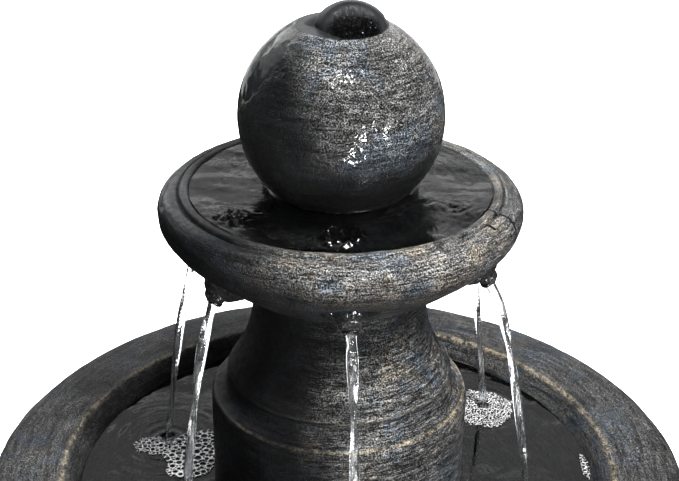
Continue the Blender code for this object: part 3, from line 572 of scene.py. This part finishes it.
def make_lower_bowl(material):
    """Disc that drops into the pedestal, underside, rounded edge, flat rim, lip and inside."""
    rim, edge, floor = LOWER_RIM_Z, LOWER_RADIUS, LOWER_FLOOR_Z
    outer = [(0.098, LOWER_SPIGOT_Z), (0.098, LOWER_SEAT_Z)]
    outer += bezier((0.125, LOWER_SEAT_Z), (0.19, 0.24), (0.262, 0.282), (0.288, 0.312), 30)
    outer += bezier((0.2895, 0.3137), (0.2985, 0.324), (edge, 0.334), (edge, 0.3465), 12)
    outer += bezier((edge, 0.3475), (edge, 0.356), (0.299, 0.3592), (0.2905, rim - 0.0022), 14)
    outer += bezier((0.289, rim - 0.002), (0.2845, rim - 0.0014), (0.2832, rim - 0.0014),
        (0.2826, rim - 0.0012), 5)
    outer += bezier((0.2818, rim + 0.0002), (0.27, rim + 0.0014), (0.25, rim + 0.001),
        (0.244, rim + 0.0003), 14)
    inner = bezier((0.2424, rim), (0.2408, rim - 0.0006), (0.24, rim - 0.0018), (0.2388, rim - 0.0034), 4)
    inner += bezier((0.238, rim - 0.0044), (0.225, 0.343), (0.212, 0.262), (0.152, floor), 26)
    inner += [(0.0945, floor), (0.0945, floor + 0.004), (0.0895, floor + 0.004), (0.0895, floor)]
    section = [(0.0, LOWER_SPIGOT_Z)] + outer + inner + [(0.0, floor)]
    on_axis = (LOWER_SPIGOT_Z, floor)
    section = [point for point in refined(section, 0.006) if point[0] > 1e-6 or point[1] in on_axis]
    bowl = turned("lower_bowl_casting", section, 384, material)
    roughen(bowl, 0.05, 0.0007, 7)
    roughen(bowl, 0.008, 0.0002, 8)
    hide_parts("lower_bowl")
    return bowl


def make_pedestal(material):
    """Drum foot, ledge, waist and top ring, hollow, with a cord notch at the back."""
    top, foot, flare, ledge = PEDESTAL[1][2], PEDESTAL_RADIUS, PEDESTAL_FLARE_Z, PEDESTAL_LEDGE_Z
    outer = [(foot, 0.0)] + bezier((foot, ledge - 0.008), (foot, ledge - 0.003), (foot - 0.002, ledge),
        (foot - 0.005, ledge + 0.0005), 6)
    outer += bezier((0.146, ledge + 0.001), (0.139, ledge + 0.003), (0.1365, ledge + 0.006),
        (0.1368, flare - 0.0035), 6)
    outer += bezier((0.1378, flare), (0.112, 0.105), (0.094, 0.15), (0.098, 0.192), 34)
    outer += bezier((0.0985, 0.196), (0.101, top - 0.026), (0.12, top - 0.028), (0.12, top - 0.016), 14)
    outer += [(0.12, top)]
    inner = [(0.1, top), (0.1, top - 0.016), (0.084, top - 0.034), (0.084, 0.15)]
    inner += [(0.124, flare - 0.008), (foot - 0.014, 0.04), (foot - 0.014, 0.0)]
    pedestal = turned("pedestal_casting", refined(outer + inner, 0.0055), 256, material)
    roughen(pedestal, 0.036, 0.0006, 9)
    flatten_foot(pedestal)
    cut_arch(pedestal, 0.024, 0.022, foot - 0.007, 0.0, 180)
    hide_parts("pedestal")
    return pedestal


def flatten_foot(item):
    """Keeps the face that the fountain rests on flat and on the ground."""
    for vertex in item.data.vertices:
        vertex.co.z = max(vertex.co.z, 0.0) if vertex.co.z > 0.001 else 0.0


def cut_arch(item, width, height, radius, sill_z, angle_deg):
    """Cuts a doorway through a round wall, and applies the cut."""
    half = width / 2
    outline = [(-half, -0.01), (half, -0.01)] + arc((0.0, height - half), half, 0, 180, 24)
    mesh_data = bmesh.new()
    face = mesh_data.faces.new([mesh_data.verts.new((x, y, -0.02)) for x, y in outline])
    pushed = bmesh.ops.extrude_face_region(mesh_data, geom=[face])
    moved = [part for part in pushed["geom"] if isinstance(part, bmesh.types.BMVert)]
    bmesh.ops.translate(mesh_data, verts=moved, vec=(0.0, 0.0, 0.04))
    tool = mesh_object("arch_tool", mesh_data, item.data.materials[0])
    centre = around(angle_deg) @ Vector((0.0, -radius, 0.0))
    upright = Matrix.Rotation(math.radians(90), 4, "X")
    tool.matrix_world = Matrix.Translation((centre.x, centre.y, sill_z)) @ around(angle_deg) @ upright
    modifier = item.modifiers.new("arch", "BOOLEAN")
    modifier.operation = "DIFFERENCE"
    modifier.solver = "EXACT"
    modifier.object = tool
    apply_modifiers(item)
    bpy.data.objects.remove(tool)


def apply_modifiers(item):
    """Writes an object's evaluated mesh back to it and drops its modifiers."""
    bpy.context.view_layer.update()
    depsgraph = bpy.context.evaluated_depsgraph_get()
    mesh = bpy.data.meshes.new_from_object(item.evaluated_get(depsgraph))
    item.modifiers.clear()
    item.data = mesh


def boss_mesh(material):
    """One lumpy cast boss under the front of the bowl, before it is turned to its spout."""
    mesh_data = bmesh.new()
    lumps = (((0.0, -0.1195, BRIM_Z - 0.048), (0.015, 0.0125, 0.012)),
             ((0.0, -0.125, BRIM_Z - 0.057), (0.0092, 0.0084, 0.007)),
             ((-0.014, -0.116, BRIM_Z - 0.049), (0.01, 0.0095, 0.0085)),
             ((0.0135, -0.115, BRIM_Z - 0.05), (0.01, 0.01, 0.0085)),
             ((0.0, -0.101, BRIM_Z - 0.0605), (0.008, 0.021, 0.008)))
    for spot, radii in lumps:
        matrix = Matrix.Translation(spot) @ Matrix.Diagonal((*radii, 1.0))
        bmesh.ops.create_icosphere(mesh_data, subdivisions=4, radius=1.0, matrix=matrix)
    boss = mesh_object("boss_pattern", mesh_data, material)
    modifier = boss.modifiers.new("blend", "REMESH")
    modifier.mode = "VOXEL"
    modifier.voxel_size = 0.0008
    relax = boss.modifiers.new("relax", "SMOOTH")
    relax.iterations = 6
    relax.factor = 0.6
    apply_modifiers(boss)
    return boss


def make_bosses(material):
    pattern = boss_mesh(material)
    bosses = []
    for index, angle in enumerate(SPOUT_ANGLES_DEG):
        mesh = pattern.data.copy()
        mesh.transform(around(angle))
        boss = bpy.data.objects.new(f"spout_boss_{index + 1}", mesh)
        bpy.context.scene.collection.objects.link(boss)
        roughen(boss, 0.0085, 0.0011, 20 + index, 3)
        mesh.shade_smooth()
        bosses.append(boss)
    bpy.data.objects.remove(pattern)
    return bosses


def make_spouts(material):
    """Short tubes with a rolled lip, each in its boss."""
    length = 0.04
    outer = [(0.0056, -length), (0.0056, -0.0125)]
    outer += bezier((0.0056, -0.0118), (0.006, -0.008), (0.0064, -0.0055), (0.0065, -0.003), 6)
    lip = bezier((0.0065, -0.0022), (0.0064, 0.0002), (0.005, 0.0004), (0.0045, -0.0006), 7)
    section = refined(outer + lip + [(0.0044, -0.004), (0.0044, -length)], 0.0015)
    spouts = []
    for index, angle in enumerate(SPOUT_ANGLES_DEG):
        spout = turned(f"spout_tube_{index + 1}", section, 56, material)
        spout.data.transform(spout_matrix(angle))
        roughen(spout, 0.004, 0.00035, 30 + index, 3)
        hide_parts(f"spout_{index + 1}")
        spouts.append(spout)
    return spouts


# ---- water
def pool(name, inner_radius, outer_radius, rings, segments, surface, bottom, material):
    """A closed body of water: a rippled top over a turned bottom, whose section runs outwards."""
    step_in = (outer_radius - inner_radius) / rings
    section = [(outer_radius - step_in * ring, surface) for ring in range(rings + 1)]
    if inner_radius == 0.0:
        section[-1] = (0.0, surface)
    return turned(name, section + bottom, segments, material)


def mound(x, y, centre, width, height):
    """A smooth swell of water round a point."""
    distance = math.hypot(x - centre[0], y - centre[1]) / width
    return height * math.exp(-distance * distance)


def ring_waves(x, y, centre, wavelength, height, fade):
    """Circular waves spreading from a point."""
    distance = math.hypot(x - centre[0], y - centre[1])
    return height * math.cos(math.tau * distance / wavelength) * math.exp(-distance / fade)


def fractal(x, y, layer, size, octaves):
    """Fractal noise over a level plane, different on each layer."""
    return noise.fractal(Vector((x, y, layer)) / size, 1.0, 2.0, octaves)


def front_point(angle_deg, radius):
    """The x and y of a place at an angle from the front towards +X."""
    spot = around(angle_deg) @ Vector((0.0, -radius, 0.0))
    return spot.x, spot.y


# How high the water heaps up over each spout's mouth, front spout first
SWELL_HEIGHTS = (0.013, 0.0014, 0.0006, 0.0004, 0.0008, 0.0036)


def upper_water(x, y):
    """The upper pool's surface: heaped over the spouts, rippled, and climbing a little up the ball."""
    level = BRIM_Z
    for angle, height in zip(SPOUT_ANGLES_DEG, SWELL_HEIGHTS):
        swell = mound(x, y, front_point(angle - 3.0, 0.103), 0.0165, height)
        level += swell * (0.8 + 0.85 * fractal(x, y, 0.0, 0.0046, 4))
    level += 0.0013 * fractal(x * 0.8, y * 1.5, 3.0, 0.05, 2)
    level += 0.0002 * fractal(x, y * 1.6, 7.0, 0.012, 2)
    off_ball = math.hypot(x, y) - BALL_WATERLINE_RADIUS
    level += 0.003 * math.exp(-abs(off_ball) / 0.0024)
    level += 0.0004 * math.cos(off_ball * math.tau / 0.009) * math.exp(-abs(off_ball) / 0.02)
    return level


def make_upper_pool(material):
    under = UPPER_FLOOR_Z - 0.0005
    bottom = [(PIPE_RADIUS + 0.0003, under), (0.022, under)]
    bottom += [(0.0228, HUB_TOP_Z - 0.0005), (0.0325, HUB_TOP_Z - 0.0005)]
    bottom += [(0.033, UPPER_FLOOR_Z + 0.002), (0.04, under), (0.078, under)]
    bottom += bezier((0.079, BRIM_Z - 0.0525), (0.1005, BRIM_Z - 0.0505), (0.1155, BRIM_Z - 0.0325),
        (0.1212, BRIM_Z - 0.008), 8)
    return pool("upper_pool_water", PIPE_RADIUS + 0.0003, UPPER_POOL_RADIUS, 120, 320, upper_water, bottom,
                material)


def stream_ends(index):
    """Where a stream leaves its spout and where it meets the basin's water."""
    angle = SPOUT_ANGLES_DEG[index]
    out = around(angle) @ Vector((0.0, -1.0, 0.0))
    side = around(angle) @ Vector((1.0, 0.0, 0.0))
    tip = around(angle) @ Vector((0.0, -SPOUT_TIP_RADIUS, SPOUT_TIP_Z))
    landing = tip + out * STREAM_REACH[index] + side * STREAM_DRIFT[index]
    landing.z = LOWER_WATER_Z
    return tip, landing


def stream_point(index, t):
    """Where the water is at a fraction t of its fall."""
    tip, landing = stream_ends(index)
    drop = tip.z - landing.z
    first_speed = 0.36
    fall = drop * (first_speed * t + (1 - first_speed) * t * t)
    across = t * 1.06 - 0.06 * t * t
    x, y = tip.x + (landing.x - tip.x) * across, tip.y + (landing.y - tip.y) * across
    return Vector((x, y, tip.z - fall))


def make_streams(material):
    """Falling jets that narrow as they speed up, with a flat twist and a fine rope of ripples."""
    streams = []
    rows, sides, inside = 360, 36, 0.05
    for index in range(len(SPOUT_ANGLES_DEG)):
        rng = random.Random(400 + index)
        phase = rng.uniform(0, math.tau)
        mesh_data = bmesh.new()
        rings = []
        for row in range(rows + 1):
            t = -inside + (1.0 + inside + 0.012) * row / rows
            centre = stream_point(index, t)
            along = (stream_point(index, t + 0.002) - stream_point(index, t - 0.002)).normalized()
            side = along.cross(Vector((0.0, 0.0, 1.0))).normalized()
            other = along.cross(side).normalized()
            travelled = t * 0.235
            radius = 0.0044 * (1.0 - 0.42 * min(1.0, max(0.0, t)) ** 0.55)
            flatness = 0.3 * min(1.0, max(0.0, t * 6))
            turn = phase + travelled / 0.11 * math.pi
            ripple_height = 0.00004 * min(1.0, max(0.0, (t - 0.02) * 12))
            ring = []
            for step in range(sides):
                angle = math.tau * step / sides
                oval = 1.0 + flatness * math.cos(2 * (angle - turn))
                rope = ripple_height * math.sin(math.tau * travelled / 0.004 + 2 * angle)
                reach = radius * oval + rope
                corner = centre + side * (reach * math.cos(angle)) + other * (reach * math.sin(angle))
                ring.append(mesh_data.verts.new(corner))
            rings.append(ring)
        tube(mesh_data, rings)
        streams.append(mesh_object(f"stream_{index + 1}", mesh_data, material, 60))
    return streams


def lower_water(x, y):
    """The basin's surface: ring waves and a small dent where each stream lands, and a slow swell."""
    level = LOWER_WATER_Z
    for index in range(len(SPOUT_ANGLES_DEG)):
        landing = stream_ends(index)[1]
        spot = (landing.x, landing.y)
        level += ring_waves(x, y, spot, 0.011, 0.0009, 0.018)
        level -= mound(x, y, spot, 0.0045, 0.0016)
    level += 0.0003 * fractal(x, y * 1.6, 9.0, 0.055, 2)
    return level


def make_lower_pool(material):
    bottom = [(0.0, LOWER_FLOOR_Z - 0.0005), (0.152, LOWER_FLOOR_Z - 0.0005)]
    bottom += bezier((0.153, LOWER_FLOOR_Z - 0.0004), (0.2125, 0.2618), (0.2235, 0.33), (0.2272, 0.34), 12)
    return pool("lower_pool_water", 0.0, LOWER_POOL_RADIUS, 150, 384, lower_water, bottom, material)


# Where the water breaks open in the ball's dish
MOUTH = Vector((0.011, -0.0215, BALL[1][2] + 0.005))


def crater_water(x, y):
    """Water welling out of the ball: a smooth hood that leans to the right over a broken, open mouth."""
    radius = math.hypot(x, y)
    rim_z = BALL[1][2] - 0.0002
    hood = max(0.0, 1.0 - ((x - 0.007) / 0.0285) ** 2 - ((y - 0.001) / 0.027) ** 2) ** 0.68 * 0.018
    fold = max(0.0, 1.0 - ((x + 0.017) / 0.0135) ** 2 - ((y - 0.008) / 0.015) ** 2) * 0.005
    mouth = math.exp(-(((x - MOUTH.x) / 0.0225) ** 2 + ((y - MOUTH.y) / 0.015) ** 2) ** 2)
    broken = fractal(x, y, 1.0, 0.0032, 3)
    swell = max(hood, fold) * (1.0 - 0.92 * mouth) + (0.0022 * broken - 0.002) * mouth
    return rim_z + swell * min(1.0, max(0.0, (CRATER_RADIUS - radius) / 0.004)) ** 0.5


def welling_material():
    """Dark water: satin where the hood runs smooth. In its mouth it is painted near black, as painted
    shade under the hood, and flecked with pale painted glints over little breaks in the surface.
    """
    n = Nodes("water_welling")
    flattened = n.vector("MULTIPLY", n.shifted(tuple(-c for c in MOUTH)), (0.62, 0.9, 1.1))
    length = n.vector("LENGTH", flattened.outputs[0])
    inside = n.ramp(length.outputs["Value"], 0.0115, 0.0165, 1.0, 0.0)
    swirl = n.noise(0.01, 3.0, distortion=0.6)
    breaks = n.noise(0.0024, 4.0, 0.7)
    # Painted glints: pale specks of colour in the mouth.
    bright = n.times(n.ramp(breaks, 0.66, 0.71), inside)
    # Painted shade: the mouth under the hood is painted near black.
    dark = n.mix(inside, n.mix(swirl, (0.012, 0.013, 0.014), (0.026, 0.027, 0.029)), (0.002, 0.002, 0.002))
    colour = n.mix(bright, dark, (0.3, 0.31, 0.33))
    height = n.plus(n.times(swirl, 0.1), n.times(breaks, inside))
    roughness = n.plus(n.times(inside, -0.16), n.ramp(swirl, 0.3, 0.7, 0.34, 0.42))
    return n.set(Base_Color=colour, Roughness=roughness, Normal=n.bump(height, 0.0012, 0.9), IOR=1.4)


def make_waterline_highlight(material):
    """A painted highlight: a broken bead of pale foam material where the ball stands in the upper pool, in
    place of the light that the meniscus reflects.
    """
    steps, sides = 260, 8
    mesh_data = bmesh.new()
    rings = []
    for step in range(steps + 1):
        angle = math.radians(-62.0 + 150.0 * step / steps)
        out = Vector((math.sin(angle), -math.cos(angle), 0.0))
        fade = math.sin(math.pi * step / steps) ** 0.5
        thickness = fade * (0.00042 + 0.0003 * noise.fractal(out * 14.0, 1.0, 2.0, 3)) + 0.00002
        spot = out * (BALL_WATERLINE_RADIUS + 0.0012)
        spot.z = upper_water(spot.x, spot.y) + 0.0001
        ring = []
        for side in range(sides):
            turn = math.tau * side / sides
            lift = Vector((0.0, 0.0, thickness * math.sin(turn)))
            ring.append(spot + out * (thickness * math.cos(turn)) + lift)
        rings.append([mesh_data.verts.new(corner) for corner in ring])
    tube(mesh_data, rings)
    return mesh_object("waterline_painted_highlight", mesh_data, material, 80)


def make_crater_water(material):
    bottom = [(0.0, CRATER_FLOOR_Z + 0.0005), (0.014, CRATER_FLOOR_Z - 0.0004),
              (0.024, CRATER_FLOOR_Z + 0.0025), (0.0325, CRATER_FLOOR_Z + 0.0078)]
    return pool("crater_water", 0.0, CRATER_RADIUS, 90, 200, crater_water, bottom, material)


def packed_bubbles(rng, centre, half_x, half_y, turn, largest, inside):
    """Bubbles of mixed sizes, as (x, y, radius), that don't touch and lie inside an oval."""
    bubbles = []
    for size in (largest, largest * 0.79, largest * 0.62, largest * 0.47, largest * 0.35, largest * 0.26):
        for _ in range(int(0.9 / size)):
            angle, reach = rng.uniform(0, math.tau), math.sqrt(rng.uniform(0, 1)) * 0.95
            local = turn @ Vector((half_x * reach * math.cos(angle), half_y * reach * math.sin(angle)))
            x, y = centre[0] + local.x, centre[1] + local.y
            radius = size * rng.uniform(0.8, 1.12) * (1.0 - 0.4 * reach)
            if not inside(x, y, radius):
                continue
            if all(math.hypot(x - bx, y - by) > (radius + br) * 1.1 for bx, by, br in bubbles):
                bubbles.append((x, y, radius))
    return bubbles


def foam_patch(name, centre, half_x, half_y, turn_deg, seed, material, largest, hole=None, keep_out=None):
    """A raft of foam: one soft web on the water, holed where the larger bubbles are open."""
    rng = random.Random(seed)
    turn = Matrix.Rotation(math.radians(turn_deg), 2)
    back = turn.transposed()

    def inside(x, y, margin):
        local = back @ Vector((x - centre[0], y - centre[1]))
        angle = math.atan2(local.y, local.x)
        ragged = 0.86 + 0.2 * noise.noise(Vector((math.cos(angle) * 2.2, math.sin(angle) * 2.2, seed)))
        ragged += 0.05 * noise.noise(Vector((math.cos(angle) * 9.0, math.sin(angle) * 9.0, seed)))
        if math.hypot(local.x / (half_x - margin), local.y / (half_y - margin)) > ragged:
            return False
        if hole and math.hypot(x - hole[0], y - hole[1]) < hole[2] + margin:
            return False
        return not keep_out or math.hypot(x, y) > keep_out + margin

    bubbles = packed_bubbles(rng, centre, half_x, half_y, turn, largest, inside)
    tree = kdtree.KDTree(len(bubbles))
    for index, (x, y, _) in enumerate(bubbles):
        tree.insert((x, y, 0.0), index)
    tree.balance()
    pitch, reach = 0.0005, max(half_x, half_y) * 1.1
    count = int(2 * reach / pitch)
    mesh_data = bmesh.new()
    grid = {}
    for column in range(count):
        for row in range(count):
            x, y = centre[0] - reach + pitch * column, centre[1] - reach + pitch * row
            if not inside(x, y, 0.0):
                continue
            gaps = [math.hypot(x - bubbles[i][0], y - bubbles[i][1]) - 0.74 * bubbles[i][2]
                    for _, i, _ in tree.find_n((x, y, 0.0), 4)]
            gap = min(gaps) if gaps else pitch
            if gap > 0.0:
                level = lower_water(x, y) + 0.0004 + 0.0008 * min(1.0, gap / 0.0012) ** 0.5
                grid[column, row] = mesh_data.verts.new((x, y, level))
    for (column, row), corner in grid.items():
        others = [(column + 1, row), (column + 1, row + 1), (column, row + 1)]
        if all(spot in grid for spot in others):
            mesh_data.faces.new([corner] + [grid[spot] for spot in others])
    loose = [vertex for vertex in mesh_data.verts if not vertex.link_faces]
    bmesh.ops.delete(mesh_data, geom=loose, context="VERTS")
    foam = mesh_object(name, mesh_data, material, 80)
    relax = foam.modifiers.new("relax", "SMOOTH")
    relax.iterations = 3
    thicken = foam.modifiers.new("thicken", "SOLIDIFY")
    thicken.thickness = 0.0009
    thicken.offset = -1.0
    apply_modifiers(foam)
    return foam


def make_foam(material):
    """Foam round the streams that land behind the column, and a sliver at the basin's right edge."""
    back_right, back_left = stream_ends(2)[1], stream_ends(4)[1]
    column = COLUMN_RADIUS + 0.0005
    hole_right, hole_left = (back_right.x, back_right.y, 0.0055), (back_left.x, back_left.y, 0.006)
    return [
        foam_patch("foam_back_right", (back_right.x, back_right.y - 0.006), 0.032, 0.036, 10, 11, material,
                   0.0016, hole_right, column),
        foam_patch("foam_left", front_point(-101.0, 0.134), 0.03, 0.046, -12, 12, material,
                   0.0036, hole_left, column),
        foam_patch("foam_far_left", front_point(-103.0, 0.172), 0.024, 0.016, 0, 13, material,
                   0.0026, hole_left, column),
        foam_patch("foam_right", front_point(93.0, 0.222), 0.0045, 0.024, 0, 14, material, 0.0022),
    ]


# ---- studio
def panel(name, place, target, width, height, radiance, colour=(1.0, 1.0, 1.0), mirrored=True,
          through_water=True):
    """A soft panel of light, as bright as white paper at radiance 1, and not seen by the camera.

    One that isn't mirrored lights the stone without laying a sheen on it, and one that doesn't go through
    water leaves the pools dark.
    """
    light = bpy.data.lights.new(name, "AREA")
    light.shape = "RECTANGLE"
    light.size = width
    light.size_y = height
    light.energy = radiance * math.pi * width * height
    light.color = colour
    lamp = bpy.data.objects.new(name, light)
    bpy.context.scene.collection.objects.link(lamp)
    aim = (Vector(target) - Vector(place)).to_track_quat("-Z", "Y")
    lamp.matrix_world = Matrix.Translation(place) @ aim.to_matrix().to_4x4()
    lamp.visible_camera = False
    lamp.visible_glossy = mirrored
    lamp.visible_transmission = through_water


# How bright the back wall is in strips from the floor up: still water and wet stone mirror them
WALL_STRIPS = (1.05, 0.9, 0.4, 1.85, 1.15, 1.55, 0.9, 0.95)


def make_studio():
    """A white sweep, the lights that the stone and water show, and the camera."""
    scene = bpy.context.scene
    scene.view_settings.view_transform = "Standard"
    scene.view_settings.gamma = 0.72
    scene.view_settings.exposure = 0.25
    inside = [(0.0, 0.0)] + arc((7.0, 2.0), 2.0, -90, 0, 16) + [(9.0, 7.0)]
    outside = [(9.2, 7.0)] + arc((7.0, 2.0), 2.2, 0, -90, 16) + [(0.0, -0.2)]
    floor = turned("studio_floor", inside + outside, 96, floor_material())
    floor.visible_shadow = False
    floor.visible_diffuse = False
    floor.visible_glossy = False

    world = bpy.data.worlds.new("studio")
    world.use_nodes = True
    world.node_tree.nodes["Background"].inputs["Color"].default_value = (0.93, 0.96, 1.0, 1.0)
    world.node_tree.nodes["Background"].inputs["Strength"].default_value = 0.04
    scene.world = world

    middle = (0.0, 0.0, 0.55)
    for strip, radiance in enumerate(WALL_STRIPS):
        panel(f"wall_back_{strip + 1}", (-0.2, 3.0, 0.15 + 0.45 * strip), middle, 4.4, 0.45, radiance)
    panel("wall_left", (-2.1, 2.1, 2.3), middle, 2.4, 2.0, 0.8)
    warm = (1.0, 0.985, 0.96)
    panel("key", (0.76, -1.03, 2.1), middle, 0.45, 0.45, 225.0, warm, mirrored=False)
    panel("low_key", (1.35, -1.25, 0.95), (0.0, 0.0, 0.45), 0.4, 0.5, 3.5, warm, mirrored=False)
    panel("top", (-0.7, 0.5, 2.6), middle, 1.0, 1.0, 8.0, mirrored=False)
    panel("back_fill", (-0.6, 2.2, 1.5), middle, 1.2, 1.2, 14.0, mirrored=False, through_water=False)
    panel("side_fill", (-2.4, 0.3, 1.1), middle, 0.9, 0.9, 2.4, mirrored=False, through_water=False)
    glints = (((0.074, -0.935, 2.196), 0.22), ((0.617, -1.667, 0.64), 0.18),
              ((1.3, -1.204, 0.64), 0.2), ((0.325, -1.553, 0.08), 0.2))
    for place, size in glints:
        panel("glint", place, (0.0, 0.0, 0.69), size, size * 1.3, 60.0)

    camera_data = bpy.data.cameras.new("camera")
    camera_data.lens = CAMERA_LENS_MM
    camera_data.sensor_width = 36.0
    camera = bpy.data.objects.new("camera", camera_data)
    tilt = Matrix.Rotation(math.radians(90 - CAMERA_PITCH_DEG), 4, "X")
    roll = Matrix.Rotation(math.radians(CAMERA_ROLL_DEG), 4, "Z")
    camera.matrix_world = Matrix.Translation(CAMERA_PLACE) @ tilt @ roll
    scene.collection.objects.link(camera)
    scene.camera = camera


# ---- the whole
def repaint(names, material):
    """Gives the CAD's own pieces a new material."""
    for name in names:
        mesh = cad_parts[name].data
        mesh.materials.clear()
        mesh.materials.append(material)


def ride_all(items, body):
    for item in items:
        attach(item, body)


def make_stonework():
    """The castings and spouts, each with its own paint and on its own tier."""
    # Painted shade: the dark zones given to the upper bowl and the column darken their left sides, away
    # from the key light.
    left = (-1.0, -0.12, 0.0)
    bowl_edges = ((0.133, BRIM_Z - 0.0335, 0.009, 0.55), (0.127, BRIM_Z + 0.002, 0.004, 0.15))
    upper_bowl = cast_stone(
        "stone_upper_bowl", bowl_edges, gold=0.42, shine=0.9, paint=0.94, grainy=0.62, film=(0.4, 0.05),
        cracks=((67.5, 0.1225, 0.155), (57.6, 0.13, 0.14)), calm=(left, 0.085, 0.06),
        dark=((left, 0.01, 0.1),))

    sheet = Vector((-0.78, 0.05, 0.62)).normalized()
    sheet_edge = sheet.dot((0.0, 0.0, BALL_CENTRE_Z)) + BALL_RADIUS * 0.78
    # Painted shade on the ball's left side and underside, away from the key light.
    sideways = Vector((-0.97, -0.2, -0.14)).normalized()
    down = Vector((0.0, -0.1, -0.99)).normalized()
    ball_shade = ((sideways, sideways.z * BALL_CENTRE_Z + 0.01, 0.04),
                  (down, down.z * BALL_CENTRE_Z - 0.006, 0.046))
    ball = cast_stone("stone_ball", gold=0.1, shine=0.9, paint=0.82, grainy=0.85, film=(0.9, 0.7),
                      calm=(sheet, sheet_edge, 0.006), dark=ball_shade)

    column_edges = ((COLUMN_RADIUS - 0.002, COLUMN_LEDGE_Z, 0.003, 0.85),
                    (0.095, COLUMN_FLARE_Z, 0.002, 0.3))
    column = cast_stone("stone_column", column_edges, gold=0.35, shine=0.6, paint=0.78, grainy=0.4,
                        calm=(left, 0.05, 0.05), dark=((left, -0.006, 0.06),), slant=0.02)
    lower_bowl = cast_stone("stone_lower_bowl", ((0.2418, LOWER_RIM_Z - 0.0006, 0.0046, 0.8),),
                            gold=0.05, shine=0.95, paint=0.5, grainy=0.9)
    pedestal_edges = ((PEDESTAL_RADIUS - 0.002, PEDESTAL_LEDGE_Z, 0.005, 0.7),
                      (0.138, PEDESTAL_FLARE_Z, 0.003, 0.45))
    pedestal = cast_stone("stone_pedestal", pedestal_edges, gold=0.3, shine=0.6, paint=0.5, grainy=0.4)
    bosses = cast_stone("stone_bosses", gold=0.35, shine=0.9, paint=0.42, grainy=0.9, film=(0.95, 0.95))
    spouts = moulded("spout_glossy_black", (0.012, 0.0125, 0.014), 0.22, 0.0016, 0.0005, Coat_Weight=1.0)

    ride_all([make_upper_bowl(upper_bowl)] + make_bosses(bosses) + make_spouts(spouts), "upper_tier")
    ride_all([make_ball(ball)], "ball")
    ride_all([make_column(column)], "column")
    ride_all([make_lower_bowl(lower_bowl)], "lower_tier")
    ride_all([make_pedestal(pedestal)], "stand")


def make_water():
    """Pools, streams, the welling water, the foam and the painted highlight at the ball's waterline, each
    on the tier that holds it.
    """
    deep = (0.16, 0.17, 0.18)
    rippled = water_material("water_upper", deep, 0.16, 0.0008, 0.03, 0.62)
    ride_all([make_upper_pool(rippled)], "upper_tier")
    foam = foam_material()
    # The waterline bead is a painted highlight in foam material.
    ride_all(make_streams(stream_material()) + [make_waterline_highlight(foam)], "upper_tier")
    ride_all([make_crater_water(welling_material())], "ball")
    still = water_material("water_lower", deep, 0.05, 0.0002, 0.03, 0.28)
    ride_all([make_lower_pool(still)] + make_foam(foam), "lower_tier")


def paint_fittings():
    """New materials for the pump, the plumbing and the rubber pieces."""
    rubber = moulded("rubber_black", (0.016, 0.016, 0.017), 0.75)
    plastic = moulded("plastic_black", (0.014, 0.014, 0.016), 0.42)
    repaint(["cord_grommet", "drain_plug", "bulkhead_gasket", "crater_collar", "shaft_bush_front",
             "shaft_bush_rear"] + [f"suction_cup_{i}" for i in range(1, 5)], rubber)
    repaint(["pump_housing", "pump_chamber", "outlet_adapter", "pump_cord_gland", "intake_cover",
             "bulkhead_fitting", "bulkhead_nut"], plastic)
    repaint(["riser_hose"], moulded("hose_clear", (0.62, 0.68, 0.68), 0.18, 0.002, 0.00005,
                                    Transmission_Weight=0.6))
    repaint(["ball_pipe"], moulded("pipe_grey", (0.3, 0.31, 0.32), 0.42))
    repaint(["flow_dial"], moulded("dial_blue", (0.08, 0.2, 0.42), 0.38))
    repaint(["rotor_magnet"], moulded("ferrite", (0.05, 0.05, 0.053), 0.5, 0.0005, 0.00005, Metallic=0.4))
    repaint(["impeller"], moulded("impeller_white", (0.72, 0.71, 0.67), 0.4))
    repaint(["impeller_shaft"], moulded("ceramic_white", (0.82, 0.82, 0.79), 0.2, 0.0004, 0.00002))
    repaint(["hose_clamp"], brushed_metal("clamp_steel", (0.62, 0.62, 0.6)))


make_studio()
make_stonework()
make_water()
paint_fittings()
